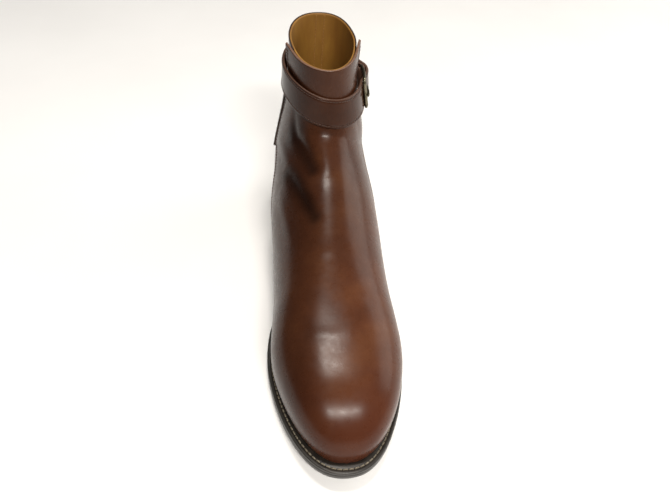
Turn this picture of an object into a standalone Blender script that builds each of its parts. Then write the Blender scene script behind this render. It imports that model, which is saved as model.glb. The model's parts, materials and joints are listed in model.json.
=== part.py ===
"""A left jodhpur boot of smooth calf: a vamp that rises to a front panel, quarters with a back line, an ankle
strap that runs round the shaft to a buckle on the outer side, a welted leather sole and a stacked heel.

Frame: metres, +Z up. The origin is the centre of the heel's tread on the floor, the toe points along -Y and
the outer side of the left foot is +X. "Along" is measured from the back of the heel's feather edge to the toe.
"""

import math

import bmesh
import bpy
import numpy as np
from mathutils import Vector

MM = 0.001

# Foot
LAST_LENGTH = 306 * MM
BALL_WIDTH = 86 * MM
INSTEP_HEIGHT = 100 * MM
TOE_CAP_LENGTH = 110 * MM
TOE_SQUARENESS = 2.37
TOE_BOX_LENGTH = 46 * MM
TOE_BOX_ROUNDNESS = 2.3
SEAT_CAP_LENGTH = 34 * MM
SEAT_ROUNDNESS = 2.1

# Shaft
SHAFT_WIDTH = 56 * MM
BACK_HEIGHT = 176 * MM
FRONT_HEIGHT = 170 * MM
HORN_RISE = 2.0 * MM
HORN_FLARE = 2.4 * MM

# Leather
WALL = 2.2 * MM
PANEL_RISE = 1.3 * MM

# Sole
HEEL_HEIGHT = 25 * MM
HEEL_LENGTH = 76 * MM
HEEL_TAPER = 1.5 * MM
BREAST_CURVE = 7 * MM
TOP_PIECE_THICKNESS = 6.5 * MM
HEEL_LIFTS = 3
OUTSOLE_THICKNESS = 5.2 * MM
WELT_THICKNESS = 3.0 * MM
WELT_INSIDE = 7 * MM
INSOLE_THICKNESS = 2.6 * MM
TOE_SPRING = 8 * MM
EDGE_CHAMFER = 0.7 * MM
SEAM_GAP = 0.3 * MM

# Ankle strap
STRAP_WIDTH = 21.5 * MM
STRAP_THICKNESS = 2.0 * MM
STRAP_HEIGHT = 140.5 * MM
STRAP_RISE_ACROSS = -0.16
STRAP_RISE_ALONG = -0.03
STRAP_CLEARANCE = 0.8 * MM
OUTER_SLACK = 2.4 * MM
INNER_SLACK = 1.5 * MM
STRAP_CENTRE = 48 * MM
STRAP_TIP_LENGTH = 13 * MM
STRAP_OVERLAP = 40 * MM
BUCKLE_LENGTH = 22 * MM
BUCKLE_BAR = 1.2 * MM
BUCKLE_ANGLE = 110
PRONG_RADIUS = 1.0 * MM
KEEPER_BACK = 17 * MM
KEEPER_WIDTH = 5 * MM
KEEPER_THICKNESS = 1.2 * MM
STAY_WIDTH = 16 * MM
STAY_THICKNESS = 2.0 * MM
STAY_ROOT = 10.0
STAY_ROOT_END = 11.1
STAY_BEHIND_SEAM = 0.15
STAY_ARC = 0.39

# Feather edge in plan before the toe and the seat round it off: half widths in shares of BALL_WIDTH,
# the sole's reach beyond it in mm
PLAN_COLUMNS = ("along", "outer", "inner", "reach")
PLAN = (
    (0.00, 0.385, 0.378, 2.4),
    (0.15, 0.375, 0.368, 2.4),
    (0.30, 0.360, 0.325, 3.4),
    (0.42, 0.378, 0.305, 5.0),
    (0.55, 0.452, 0.356, 7.0),
    (0.65, 0.518, 0.448, 8.4),
    (0.73, 0.524, 0.480, 8.6),
    (0.83, 0.497, 0.470, 8.6),
    (0.92, 0.453, 0.442, 8.6),
    (1.00, 0.410, 0.410, 8.6),
)

# Underside of the outsole in side view: rise in shares of HEEL_HEIGHT
PROFILE_COLUMNS = ("along", "rise")
PROFILE = (
    (0.00, 1.02),
    (0.13, 0.99),
    (0.25, 0.90),
    (0.36, 0.60),
    (0.46, 0.28),
    (0.55, 0.07),
    (0.61, 0.00),
    (0.74, 0.00),
    (1.00, 0.00),
)
TOE_SPRING_START = 0.72
TOE_SPRING_POWER = 1.8

# Sections of the upper from the toe to the collar. Each runs from a low point (under the foot, later up the back)
# to a ridge point on top or in front.
# foot, ridge: where these lie along, in shares of LAST_LENGTH
# back: how far the low point has gone up the back, 1 at BACK_HEIGHT
# top: ridge height in shares of INSTEP_HEIGHT; front: how far it has gone on up to FRONT_HEIGHT
# outer, inner: half widths in shares of BALL_WIDTH on the foot, of SHAFT_WIDTH on the shaft (back above 0)
# side: the ridge's place across in shares of the outer half width
# widest: share of the section at which it is widest; low, high: roundness below and above it (2: ellipse)
# seam_outer, seam_inner: share of the way from ridge to low point that the front panel covers
SECTION_COLUMNS = ("foot", "ridge", "back", "top", "front", "outer", "inner", "side", "widest", "low", "high",
                   "seam_outer", "seam_inner")
SECTIONS = (
    (1.000, 1.000, 0.00, 0.520, 0.00, 0.515, 0.485, 0.00, 0.30, 2.0, 2.90, 1.00, 1.00),
    (0.873, 0.873, 0.00, 0.560, 0.00, 0.552, 0.525, -0.02, 0.30, 2.0, 2.75, 1.00, 1.00),
    (0.773, 0.775, 0.00, 0.610, 0.00, 0.566, 0.545, -0.04, 0.29, 2.0, 2.50, 1.00, 1.00),
    (0.690, 0.697, 0.00, 0.675, 0.00, 0.552, 0.520, -0.05, 0.27, 2.0, 2.25, 1.00, 1.00),
    (0.610, 0.625, 0.00, 0.760, 0.00, 0.536, 0.490, -0.05, 0.26, 2.0, 2.00, 1.00, 1.00),
    (0.525, 0.550, 0.00, 0.860, 0.00, 0.522, 0.480, -0.04, 0.27, 2.0, 1.90, 1.00, 1.00),
    (0.435, 0.484, 0.00, 0.950, 0.00, 0.515, 0.480, -0.03, 0.29, 2.0, 1.85, 0.86, 0.92),
    (0.335, 0.432, 0.00, 1.000, 0.03, 0.500, 0.485, -0.02, 0.32, 2.0, 1.85, 0.70, 0.78),
    (0.230, 0.387, 0.00, 1.000, 0.10, 0.480, 0.470, -0.01, 0.34, 2.0, 1.85, 0.57, 0.66),
    (0.120, 0.349, 0.00, 1.000, 0.19, 0.455, 0.450, 0.00, 0.36, 2.0, 1.90, 0.49, 0.55),
    (0.000, 0.319, 0.00, 1.000, 0.31, 0.430, 0.430, 0.00, 0.40, 2.0, 1.95, 0.46, 0.49),
    (-0.008, 0.301, 0.20, 1.000, 0.46, 0.630, 0.590, 0.00, 0.43, 2.0, 2.00, 0.46, 0.48),
    (0.006, 0.291, 0.46, 1.000, 0.63, 0.520, 0.505, 0.00, 0.46, 2.1, 2.00, 0.48, 0.47),
    (0.020, 0.286, 0.73, 1.000, 0.81, 0.445, 0.470, 0.00, 0.49, 2.2, 2.00, 0.48, 0.45),
    (0.019, 0.284, 1.00, 1.000, 1.00, 0.425, 0.490, 0.00, 0.50, 2.3, 2.00, 0.47, 0.42),
)
SEAM_START = 5
SEAT = 10
COLLAR = 14

# How finely the curved pieces are cut
TOE_STEPS = 7
ROW_STEPS = 3
SEAT_STEPS = 7
PANEL_COLUMNS = 18
QUARTER_COLUMNS = 6
SOLE_STATIONS = 40
HEEL_STATIONS = 12
HEEL_COLUMNS = 6
STRAP_STATIONS = 64
RING_STEPS = 120
STAY_COLUMNS = 6

HEEL_CENTRE = HEEL_LENGTH / 2


def column(names, rows, name):
    return np.array([row[names.index(name)] for row in rows], float)


def spline(xs, ys, at):
    """Smooth curve through the points (xs, ys) with three-point slopes."""
    at = np.clip(np.asarray(at, float), xs[0], xs[-1])
    step = np.diff(xs)
    rise = np.diff(ys) / step
    slope = np.empty_like(ys)
    slope[0], slope[-1] = rise[0], rise[-1]
    slope[1:-1] = (rise[:-1] * step[1:] + rise[1:] * step[:-1]) / (step[:-1] + step[1:])
    i = np.clip(np.searchsorted(xs, at) - 1, 0, len(step) - 1)
    t = (at - xs[i]) / step[i]
    start = (2 * t**3 - 3 * t**2 + 1) * ys[i] + (t**3 - 2 * t**2 + t) * step[i] * slope[i]
    return start + (3 * t**2 - 2 * t**3) * ys[i + 1] + (t**3 - t**2) * step[i] * slope[i + 1]


def smooth_step(t):
    t = np.clip(t, 0, 1)
    return t * t * (3 - 2 * t)


def cap(distance, length, roundness):
    """1 inside, falling to 0 at the tip like a rounded end of the given length."""
    x = np.clip(1 - np.asarray(distance, float) / length, 0, 1)
    return (1 - x**roundness) ** (1 / roundness)


def unit(vector):
    return vector / np.linalg.norm(vector)


# Sole outline and heights


def plan(name, along):
    xs = column(PLAN_COLUMNS, PLAN, "along")
    return spline(xs, column(PLAN_COLUMNS, PLAN, name), np.asarray(along) / LAST_LENGTH)


def feather(along):
    """Half widths of the feather edge, outer and inner."""
    ends = cap(LAST_LENGTH - along, TOE_CAP_LENGTH, TOE_SQUARENESS) * cap(along, SEAT_CAP_LENGTH, SEAT_ROUNDNESS)
    return BALL_WIDTH * plan("outer", along) * ends, BALL_WIDTH * plan("inner", along) * ends


def outline(reach, stations=SOLE_STATIONS, last=None):
    """The feather edge moved outwards: along, outer and inner half widths at stations from heel to toe."""
    turn = np.linspace(0, math.pi, 400)
    along = LAST_LENGTH * (1 - np.cos(turn)) / 2
    moved = []
    for half in feather(along):
        dx, ds = np.gradient(half), np.gradient(along)
        size = np.hypot(dx, ds)
        moved.append((along - reach(along) * dx / size, half + reach(along) * ds / size))
    first = moved[0][0][0]
    end = moved[0][0][-1]
    if last is None:
        places = first + (end - first) * (1 - np.cos(np.linspace(0, math.pi, stations + 1))) / 2
    else:
        places = first + (last - first) * (1 - np.cos(np.linspace(0, math.pi / 2, stations + 1)))
    halves = [np.interp(places, side[0], side[1]) for side in moved]
    for half in halves:
        half[0] = 0
        if last is None:
            half[-1] = 0
    return places, halves[0], halves[1]


def welt_reach(along):
    return MM * plan("reach", along)


def underside(along):
    share = np.asarray(along) / LAST_LENGTH
    rise = spline(column(PROFILE_COLUMNS, PROFILE, "along"), column(PROFILE_COLUMNS, PROFILE, "rise"), share)
    toe = np.clip((share - TOE_SPRING_START) / (1 - TOE_SPRING_START), 0, None) ** TOE_SPRING_POWER
    return HEEL_HEIGHT * np.maximum(rise, 0) + TOE_SPRING * toe


def welt_bottom(along):
    return underside(along) + OUTSOLE_THICKNESS + SEAM_GAP


def welt_top(along):
    return welt_bottom(along) + WELT_THICKNESS


def feather_height(along):
    return welt_top(along) + SEAM_GAP


def world(x, along, z):
    return np.stack(np.broadcast_arrays(x, HEEL_CENTRE - np.asarray(along), z), axis=-1)


# The upper's surface


def section_table():
    table = {name: column(SECTION_COLUMNS, SECTIONS, name) for name in SECTION_COLUMNS}
    unit_width = np.where(table["back"] > 0, SHAFT_WIDTH, BALL_WIDTH)
    table["outer"] = table["outer"] * unit_width
    table["inner"] = table["inner"] * unit_width
    return table


TABLE = section_table()
ROWS = np.arange(len(SECTIONS), dtype=float)
CURVES = {}


def row_value(name, u):
    return float(spline(ROWS, TABLE[name], u))


def low_point(name, u):
    """Like row_value, with a corner where the feather edge turns up the back."""
    part = slice(SEAT, None) if u > SEAT else slice(0, SEAT + 1)
    return float(spline(ROWS[part], TABLE[name][part], u))


def seam(u, side):
    if u <= SEAM_START:
        return 1.0
    return min(row_value("seam_outer" if side > 0 else "seam_inner", u), 1.0)


def section(u):
    """Both sides of the section at row u: shares of the way from the ridge, with their points."""
    key = round(u, 6)
    if key in CURVES:
        return CURVES[key]
    foot = LAST_LENGTH * low_point("foot", u)
    on_sole = min(max(foot, 0.0), LAST_LENGTH)
    back = low_point("back", u)
    low_z = float(feather_height(on_sole)) + back * (BACK_HEIGHT - float(feather_height(0.0)))
    edges = feather(on_sole) if u < SEAT else (0.0, 0.0)
    toe = LAST_LENGTH - foot
    blunt = float(cap(toe, TOE_CAP_LENGTH, TOE_SQUARENESS))
    ridge_z = INSTEP_HEIGHT * row_value("top", u) + row_value("front", u) * (FRONT_HEIGHT - INSTEP_HEIGHT)
    ridge_z = low_z + (ridge_z - low_z) * float(cap(toe, TOE_BOX_LENGTH, TOE_BOX_ROUNDNESS))
    ridge = LAST_LENGTH * row_value("ridge", u)
    widest = row_value("widest", u)
    shift = row_value("side", u) * row_value("outer", u) * blunt
    turn = np.linspace(0, math.pi / 2, 40)
    curves = {}
    for side, name, edge in ((1, "outer", edges[0]), (-1, "inner", edges[1])):
        half = max(row_value(name, u) * blunt, float(edge))
        low, high = row_value("low", u), row_value("high", u)
        tuck = min(float(edge) / max(half, 1e-9), 0.98)
        start = (1 - tuck**low) ** (1 / low)
        under = start * np.cos(turn)
        lower_x = half * (1 - under**low) ** (1 / low) + (edge - tuck * half) * np.cos(turn) ** 2
        lower_t = widest * (1 - np.cos(turn))
        upper_x = half * (1 - np.sin(turn) ** high) ** (1 / high)
        upper_t = widest + (1 - widest) * np.sin(turn)
        x = side * np.concatenate([lower_x, upper_x[1:]])
        t = np.concatenate([lower_t, upper_t[1:]])
        x = x + shift * np.clip((t - widest) / (1 - widest), 0, 1) ** 2
        points = np.stack([x, foot + (ridge - foot) * t, low_z + (ridge_z - low_z) * t], axis=1)[::-1]
        length = np.concatenate([[0], np.cumsum(np.linalg.norm(np.diff(points, axis=0), axis=1))])
        share = length / max(length[-1], 1e-9)
        curves[side] = (share, points)
    CURVES[key] = curves
    return curves


def on_upper(u, v):
    """Point (x, along, z) at row u; v runs from -1 (low point, inner side) over 0 (ridge) to 1 (outer side)."""
    if abs(v) > 1 and u >= SEAT:
        v -= math.copysign(2, v)
    side = 1 if v >= 0 else -1
    share, points = section(u)[side]
    where = min(abs(v), 1.0)
    point = np.array([np.interp(where, share, points[:, axis]) for axis in range(3)])
    horn = math.exp(-(((where - seam(u, side)) / 0.12) ** 2))
    point[2] += HORN_RISE * max(u - COLLAR + 1, 0) ** 2 * horn
    return point


def outward(u, v):
    """Unit normal of the upper in (x, along, z)."""
    if u == 0:
        return np.array([0.0, 1.0, 0.0])
    du = min(0.02, u / 2)
    dv = 0.012
    closed = u >= SEAT
    before = u if u == SEAT and abs(v) > 1 - dv else u - du
    across_low = v - dv if closed else max(v - dv, -1)
    across_high = v + dv if closed else min(v + dv, 1)
    up = on_upper(min(u + du, COLLAR), v) - on_upper(before, v)
    across = on_upper(u, across_high) - on_upper(u, across_low)
    normal = np.cross(up, across)
    if abs(v) == 1 and closed:
        normal[0] = 0
    if abs(v) == 1 and u <= SEAT:
        normal[2] = 0
    return unit(normal)


def panel_rise(u, v):
    edge = min(abs(v) / seam(u, v), 1.0)
    return PANEL_RISE + HORN_FLARE * float(smooth_step((u - COLLAR + 1.5) / 1.5)) * edge**6


# Mesh building


def make(name, points, faces, material):
    """A closed mesh object from points and faces, with coincident points joined."""
    mesh = bpy.data.meshes.new(name)
    bm = bmesh.new()
    verts = [bm.verts.new(Vector(point)) for point in points]
    for face in faces:
        bm.faces.new([verts[i] for i in face])
    bmesh.ops.remove_doubles(bm, verts=bm.verts, dist=0.002 * MM)
    bmesh.ops.recalc_face_normals(bm, faces=bm.faces)
    bm.to_mesh(mesh)
    bm.free()
    obj = bpy.data.objects.new(name, mesh)
    PARTS.objects.link(obj)
    mesh.materials.append(material)
    return finish(obj)


def finish(obj):
    obj.data.shade_smooth()
    obj.data.set_sharp_from_angle(angle=math.radians(35))
    return obj


def grid_faces(start, rows, columns):
    faces = []
    for i in range(rows - 1):
        for j in range(columns - 1):
            a = start + i * columns + j
            faces.append((a, a + 1, a + columns + 1, a + columns))
    return faces


def border(rows, columns):
    """Indices round the edge of a grid, in order."""
    top = [j for j in range(columns)]
    right = [i * columns + columns - 1 for i in range(1, rows)]
    bottom = [(rows - 1) * columns + j for j in range(columns - 2, -1, -1)]
    left = [i * columns for i in range(rows - 2, 0, -1)]
    return top + right + bottom + left


def plate(name, levels, material):
    """A closed solid from grids of points stacked from bottom to top."""
    rows, columns = levels[0].shape[:2]
    count = rows * columns
    points = np.concatenate([level.reshape(-1, 3) for level in levels])
    faces = grid_faces(0, rows, columns) + grid_faces((len(levels) - 1) * count, rows, columns)
    edge = border(rows, columns)
    for k in range(len(levels) - 1):
        for a, b in zip(edge, edge[1:] + edge[:1]):
            faces.append((k * count + a, k * count + b, (k + 1) * count + b, (k + 1) * count + a))
    return make(name, points, faces, material)


def band(name, loops, material, closed):
    """A solid swept through loops of points: a ring when closed, otherwise with both ends filled."""
    size = len(loops[0])
    points = np.concatenate(loops)
    faces = []
    count = len(loops)
    for k in range(count if closed else count - 1):
        a, b = k * size, (k + 1) % count * size
        for j in range(size):
            i = (j + 1) % size
            faces.append((a + j, a + i, b + i, b + j))
    if not closed:
        faces.append(tuple(range(size)))
        faces.append(tuple(range((count - 1) * size, count * size)))
    return make(name, points, faces, material)


def tube(name, path, radius, material, closed=False):
    """A round bar along a path of world points."""
    curve = bpy.data.curves.new(name, "CURVE")
    curve.dimensions = "3D"
    curve.bevel_depth = radius
    curve.bevel_resolution = 3
    curve.use_fill_caps = True
    run = curve.splines.new("POLY")
    run.points.add(len(path) - 1)
    for point, place in zip(run.points, path):
        point.co = (*place, 1)
    run.use_cyclic_u = closed
    holder = bpy.data.objects.new(name + "_curve", curve)
    PARTS.objects.link(holder)
    bpy.context.view_layer.update()
    mesh = bpy.data.meshes.new_from_object(holder.evaluated_get(bpy.context.evaluated_depsgraph_get()))
    bpy.data.objects.remove(holder)
    bpy.data.curves.remove(curve)
    bm = bmesh.new()
    bm.from_mesh(mesh)
    bmesh.ops.remove_doubles(bm, verts=bm.verts, dist=0.002 * MM)
    bmesh.ops.recalc_face_normals(bm, faces=bm.faces)
    bm.to_mesh(mesh)
    bm.free()
    mesh.name = name
    mesh.materials.clear()
    mesh.materials.append(material)
    obj = bpy.data.objects.new(name, mesh)
    PARTS.objects.link(obj)
    return finish(obj)


def cut(obj, cutter):
    change = obj.modifiers.new("cut", "BOOLEAN")
    change.operation = "DIFFERENCE"
    change.solver = "EXACT"
    change.use_self = True
    change.object = cutter
    bpy.context.view_layer.update()
    mesh = bpy.data.meshes.new_from_object(obj.evaluated_get(bpy.context.evaluated_depsgraph_get()))
    obj.modifiers.clear()
    old = obj.data
    obj.data = mesh
    bpy.data.meshes.remove(old)
    PARTS.objects.unlink(cutter)
    CUTTERS.objects.link(cutter)
    cutter.hide_render = True
    cutter.display_type = "WIRE"
    finish(obj)


def material(name, colour, roughness, metallic=0.0):
    made = bpy.data.materials.new(name)
    made.use_nodes = True
    shader = made.node_tree.nodes["Principled BSDF"]
    linear = [(c / 12.92 if c <= 0.04045 else ((c + 0.055) / 1.055) ** 2.4) for c in colour]
    shader.inputs["Base Color"].default_value = (*linear, 1)
    shader.inputs["Roughness"].default_value = roughness
    shader.inputs["Metallic"].default_value = metallic
    made.diffuse_color = (*linear, 1)
    return made


# The pieces of the sole


def sole_plate(name, levels, material):
    """A plate whose levels are (reach function, height function)."""
    grids = []
    for reach, height in levels:
        along, outer, inner = outline(reach)
        across = np.stack([-inner, outer], axis=1)
        grids.append(world(across, along[:, None], height(along)[:, None]))
    return plate(name, grids, material)


def closed_loop(reach, height):
    along, outer, inner = outline(reach)
    there = world(outer, along, height(along))
    back = world(-inner, along, height(along))[-2:0:-1]
    return np.concatenate([there, back])


def build_outsole():
    def narrower(along):
        return welt_reach(along) - EDGE_CHAMFER

    def above(along):
        return underside(along) + EDGE_CHAMFER

    def top(along):
        return underside(along) + OUTSOLE_THICKNESS

    levels = [(narrower, underside), (welt_reach, above), (welt_reach, top)]
    return sole_plate("outsole", levels, SOLE_LEATHER)


def build_welt():
    def inside(along):
        return 0 * along - WELT_INSIDE

    def narrower(along):
        return welt_reach(along) - EDGE_CHAMFER

    def shoulder(along):
        return welt_top(along) - EDGE_CHAMFER

    sides = ((inside, welt_bottom), (welt_reach, welt_bottom), (welt_reach, shoulder), (narrower, welt_top),
             (inside, welt_top))
    loops = [closed_loop(reach, height) for reach, height in sides]
    return band("welt", loops, SOLE_LEATHER, closed=True)


def build_insole():
    def inside(along):
        return 0 * along - WALL - 3 * SEAM_GAP

    def top(along):
        return feather_height(along) + INSOLE_THICKNESS

    return sole_plate("insole", [(inside, feather_height), (inside, top)], LINING)


def heel_grid(height_share, floor):
    """A level of the heel, at a share of the way from the floor (0) to the outsole (1)."""
    def reach(along):
        return welt_reach(along) - HEEL_TAPER * (1 - height_share)

    along, outer, inner = outline(reach, HEEL_STATIONS, HEEL_LENGTH)
    share = np.linspace(0, 1, HEEL_STATIONS + 1)[:, None]
    across = np.linspace(-1, 1, HEEL_COLUMNS + 1)[None, :]
    x = np.where(across < 0, across * inner[:, None], across * outer[:, None])
    s = along[:, None] - BREAST_CURVE * (1 - across**2) * share**3
    z = floor(s)
    return world(x, s, z)


def build_heel():
    def stack_height(share, side):
        return lambda along: (
            TOP_PIECE_THICKNESS + share * (underside(along) - SEAM_GAP / 2 - TOP_PIECE_THICKNESS) + side * SEAM_GAP / 2
        )

    low = [heel_grid(0, lambda along: 0 * along), heel_grid(0.26, stack_height(0, -1))]
    plate("heel_top_piece", low, RUBBER)
    for lift in range(HEEL_LIFTS):
        bottom, top = lift / HEEL_LIFTS, (lift + 1) / HEEL_LIFTS
        levels = [
            heel_grid(0.26 + 0.74 * bottom, stack_height(bottom, 1)),
            heel_grid(0.26 + 0.74 * top, stack_height(top, -1)),
        ]
        plate("heel_lift_%d" % (lift + 1), levels, SOLE_LEATHER)


# The upper


def row_list():
    toe = [(k / TOE_STEPS) ** 2 for k in range(TOE_STEPS)]
    middle = [1 + k / ROW_STEPS for k in range((SEAT - 2) * ROW_STEPS)]
    seat = [SEAT - (1 - k / SEAT_STEPS) ** 2 for k in range(SEAT_STEPS)]
    shaft = [SEAT + k / ROW_STEPS for k in range((COLLAR - SEAT) * ROW_STEPS + 1)]
    return [round(u, 6) for u in toe + middle + seat + shaft]


def build_upper():
    rows = row_list()
    points = []
    faces = []

    def add(u, v, offset):
        place = on_upper(u, v) + outward(u, v) * offset
        points.append(world(*place))

    def grid(us, place, columns, offset):
        start = len(points)
        for u in us:
            for j in range(columns):
                v = place(u, j)
                add(u, v, offset(u, v))
        faces.extend(grid_faces(start, len(us), columns))
        return start

    def panel_place(u, j):
        f = 2 * j / PANEL_COLUMNS - 1
        return f * seam(u, f)

    def wall(u, v):
        return -WALL

    columns = PANEL_COLUMNS + 1
    outer = grid(rows, panel_place, columns, panel_rise)
    inner = grid(rows, panel_place, columns, wall)
    last = (len(rows) - 1) * columns
    for j in range(PANEL_COLUMNS):
        faces.append((outer + last + j, outer + last + j + 1, inner + last + j + 1, inner + last + j))

    behind = [u for u in rows if u >= SEAM_START]
    first = len(rows) - len(behind)
    seat = behind.index(float(SEAT))
    for side, edge in ((1, PANEL_COLUMNS), (-1, 0)):
        for i in range(first):
            a, b = i * columns + edge, (i + 1) * columns + edge
            faces.append((outer + a, outer + b, inner + b, inner + a))

        def quarter_place(u, j, side=side):
            covered = seam(u, side)
            return side * (covered + (1 - covered) * j / QUARTER_COLUMNS)

        size = QUARTER_COLUMNS + 1
        q_outer = grid(behind, quarter_place, size, lambda u, v: 0.0)
        q_inner = grid(behind, quarter_place, size, wall)
        for k in range(len(behind) - 1):
            a, b = (first + k) * columns + edge, (first + k + 1) * columns + edge
            faces.append((outer + a, outer + b, q_outer + (k + 1) * size, q_outer + k * size))
        for k in range(seat):
            a, b = k * size + QUARTER_COLUMNS, (k + 1) * size + QUARTER_COLUMNS
            faces.append((q_outer + a, q_outer + b, q_inner + b, q_inner + a))
        end = (len(behind) - 1) * size
        for j in range(QUARTER_COLUMNS):
            faces.append((q_outer + end + j, q_outer + end + j + 1, q_inner + end + j + 1, q_inner + end + j))
        start = first * columns + edge
        faces.append((outer + start, q_outer, inner + start))
        faces.append((outer + last + edge, q_outer + end, inner + last + edge))
    return make("upper", points, faces, LEATHER)


# The ankle strap


def strap_middle(x, along):
    return STRAP_HEIGHT + STRAP_RISE_ACROSS * x + STRAP_RISE_ALONG * (along - STRAP_CENTRE)


def shaft_ring(offset):
    """Radii of the shaft round the strap's centre at the strap's middle height plus an offset."""
    turns, radii = [], []
    us = np.linspace(SEAT + 0.6, COLLAR, 35)
    for v in np.linspace(-1, 1, 97)[:-1]:
        trace = np.array([on_upper(u, v) for u in us])
        over = trace[:, 2] - strap_middle(trace[:, 0], trace[:, 1]) - offset
        where = np.interp(0, over, us)
        x, along, _ = on_upper(where, v)
        turns.append(math.atan2(x, along - STRAP_CENTRE) % (2 * math.pi))
        radii.append(math.hypot(x, along - STRAP_CENTRE))
    order = np.argsort(turns)
    turns, radii = np.array(turns)[order], np.array(radii)[order]
    grid = np.linspace(0, 2 * math.pi, RING_STEPS, endpoint=False)
    ring = np.interp(grid, turns, radii, period=2 * math.pi)
    for _ in range(3):
        ring = (np.roll(ring, 1) + ring + np.roll(ring, -1)) / 3
    return grid, ring


class Strap:
    """Places round the ankle: arc from the buckle's hinge bar, lift off the ring, height across the strap."""

    def __init__(self):
        grid, top = shaft_ring(STRAP_WIDTH / 2)
        middle = shaft_ring(0)[1]
        bottom = shaft_ring(-STRAP_WIDTH / 2)[1]
        short = np.maximum(middle - (top + bottom) / 2, 0)
        slack = np.where(np.sin(grid) > 0, OUTER_SLACK, INNER_SLACK) * np.sin(grid) ** 2
        room = PANEL_RISE + STRAP_CLEARANCE + slack + short
        self.grid = grid
        self.top = top + room
        self.bottom = bottom + room
        hinge = math.radians(BUCKLE_ANGLE)
        self.turns = hinge + np.linspace(-0.5 * math.pi, 3.5 * math.pi, 1000)
        radius = self.radius(self.turns, 0)
        path = np.stack([radius * np.sin(self.turns), radius * np.cos(self.turns)], axis=1)
        arc = np.concatenate([[0], np.cumsum(np.linalg.norm(np.diff(path, axis=0), axis=1))])
        self.arc = arc - np.interp(hinge, self.turns, arc)
        self.round = np.interp(hinge + 2 * math.pi, self.turns, self.arc)

    def radius(self, turn, across):
        top = np.interp(turn, self.grid, self.top, period=2 * math.pi)
        bottom = np.interp(turn, self.grid, self.bottom, period=2 * math.pi)
        return (top + bottom) / 2 + across * (top - bottom) / STRAP_WIDTH

    def place(self, arc, lift, across):
        turn = np.interp(arc, self.arc, self.turns)
        radius = self.radius(turn, across)
        flat = self.radius(turn, 0)
        z = strap_middle(flat * math.sin(turn), STRAP_CENTRE + flat * math.cos(turn)) + across
        away = radius + lift
        return world(away * math.sin(turn), STRAP_CENTRE + away * math.cos(turn), z)


def strap_path(strap):
    """Centre line of the strap as (arc, lift): turned in round the hinge bar, once round, then over itself."""
    layer = STRAP_THICKNESS + SEAM_GAP
    low = STRAP_THICKNESS / 2
    fold = BUCKLE_BAR + SEAM_GAP + STRAP_THICKNESS / 2
    turn_in = 3.5 * STRAP_THICKNESS
    path = []
    for t in np.linspace(1, 0, 6):
        path.append((turn_in * t, low + layer + (2 * fold - layer) * smooth_step(1 - t)))
    for angle in np.linspace(0, math.pi, 9)[1:-1]:
        path.append((-fold * math.sin(angle), low + fold + fold * math.cos(angle)))
    bar = strap.round - BUCKLE_LENGTH
    for t in np.linspace(0, 1, STRAP_STATIONS):
        path.append((bar * t, low))
    for t in np.linspace(0, 1, 9)[1:]:
        path.append((bar + BUCKLE_LENGTH * t, low + (2 * fold + layer) * smooth_step(t)))
    lying = turn_in + 1.2 * STRAP_THICKNESS
    for t in np.linspace(0, 1, 6)[1:]:
        path.append((strap.round + lying * t, low + 2 * fold + layer + (layer - 2 * fold) * smooth_step(t)))
    down = 2.5 * STRAP_THICKNESS
    for t in np.linspace(0, 1, 5)[1:]:
        path.append((strap.round + lying + down * t, low + 2 * layer - layer * smooth_step(t)))
    start = strap.round + lying + down
    end = strap.round + STRAP_OVERLAP
    for t in np.linspace(0, 1, 9)[1:]:
        path.append((start + (end - start) * math.sin(t * math.pi / 2), low + layer))
    return np.array(path)


def build_strap(strap):
    path = strap_path(strap)
    step = np.gradient(path, axis=0)
    across = np.stack([-step[:, 1], step[:, 0]], axis=1)
    across /= np.linalg.norm(across, axis=1)[:, None]
    end = path[-1][0]
    half = STRAP_THICKNESS / 2
    bevel = 0.15 * STRAP_THICKNESS
    loops = []
    for (arc, lift), normal in zip(path, across):
        width = STRAP_WIDTH / 2 * max(float(cap(end - arc, STRAP_TIP_LENGTH, 1.7)), 0.12)
        corners = ((half, bevel), (half - bevel, 0), (bevel - half, 0), (-half, bevel))
        ring = [(off, width - inset) for off, inset in corners]
        ring += [(off, inset - width) for off, inset in reversed(corners)]
        loops.append([strap.place(arc + off * normal[0], lift + off * normal[1], e) for off, e in ring])
    return band("ankle_strap", loops, LEATHER, closed=False)


def build_buckle(strap):
    lift = STRAP_THICKNESS + SEAM_GAP + BUCKLE_BAR
    reach = STRAP_WIDTH / 2 + SEAM_GAP + BUCKLE_BAR
    corner = 1.6 * BUCKLE_BAR
    frame = []
    corners = ((0, 1, 0), (-BUCKLE_LENGTH, 1, 90), (-BUCKLE_LENGTH, -1, 180), (0, -1, 270))
    for arc, side, heading in corners:
        inward = corner if arc < 0 else -corner
        for turn in np.linspace(0, 90, 5):
            angle = math.radians(heading + turn)
            frame.append((arc + inward + corner * math.cos(angle), side * (reach - corner) + corner * math.sin(angle)))
    path = [strap.place(arc, lift, across) for arc, across in frame]
    tube("buckle_frame", path, BUCKLE_BAR, METAL, closed=True)

    hook = BUCKLE_BAR + SEAM_GAP + PRONG_RADIUS
    prong = [(hook * math.sin(a), lift - hook * math.cos(a)) for a in np.radians(np.linspace(30, -110, 8))]
    tip_lift = lift + BUCKLE_BAR + SEAM_GAP + PRONG_RADIUS
    for t in np.linspace(0.2, 1, 7):
        prong.append((-hook - (BUCKLE_LENGTH + 1.5 * MM - hook) * t, lift + (tip_lift - lift) * math.sqrt(t)))
    path = [strap.place(arc, up, 0) for arc, up in prong]
    tube("buckle_prong", path, PRONG_RADIUS, METAL)
    return tube("prong_clearance", path, PRONG_RADIUS + SEAM_GAP, METAL)


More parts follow.
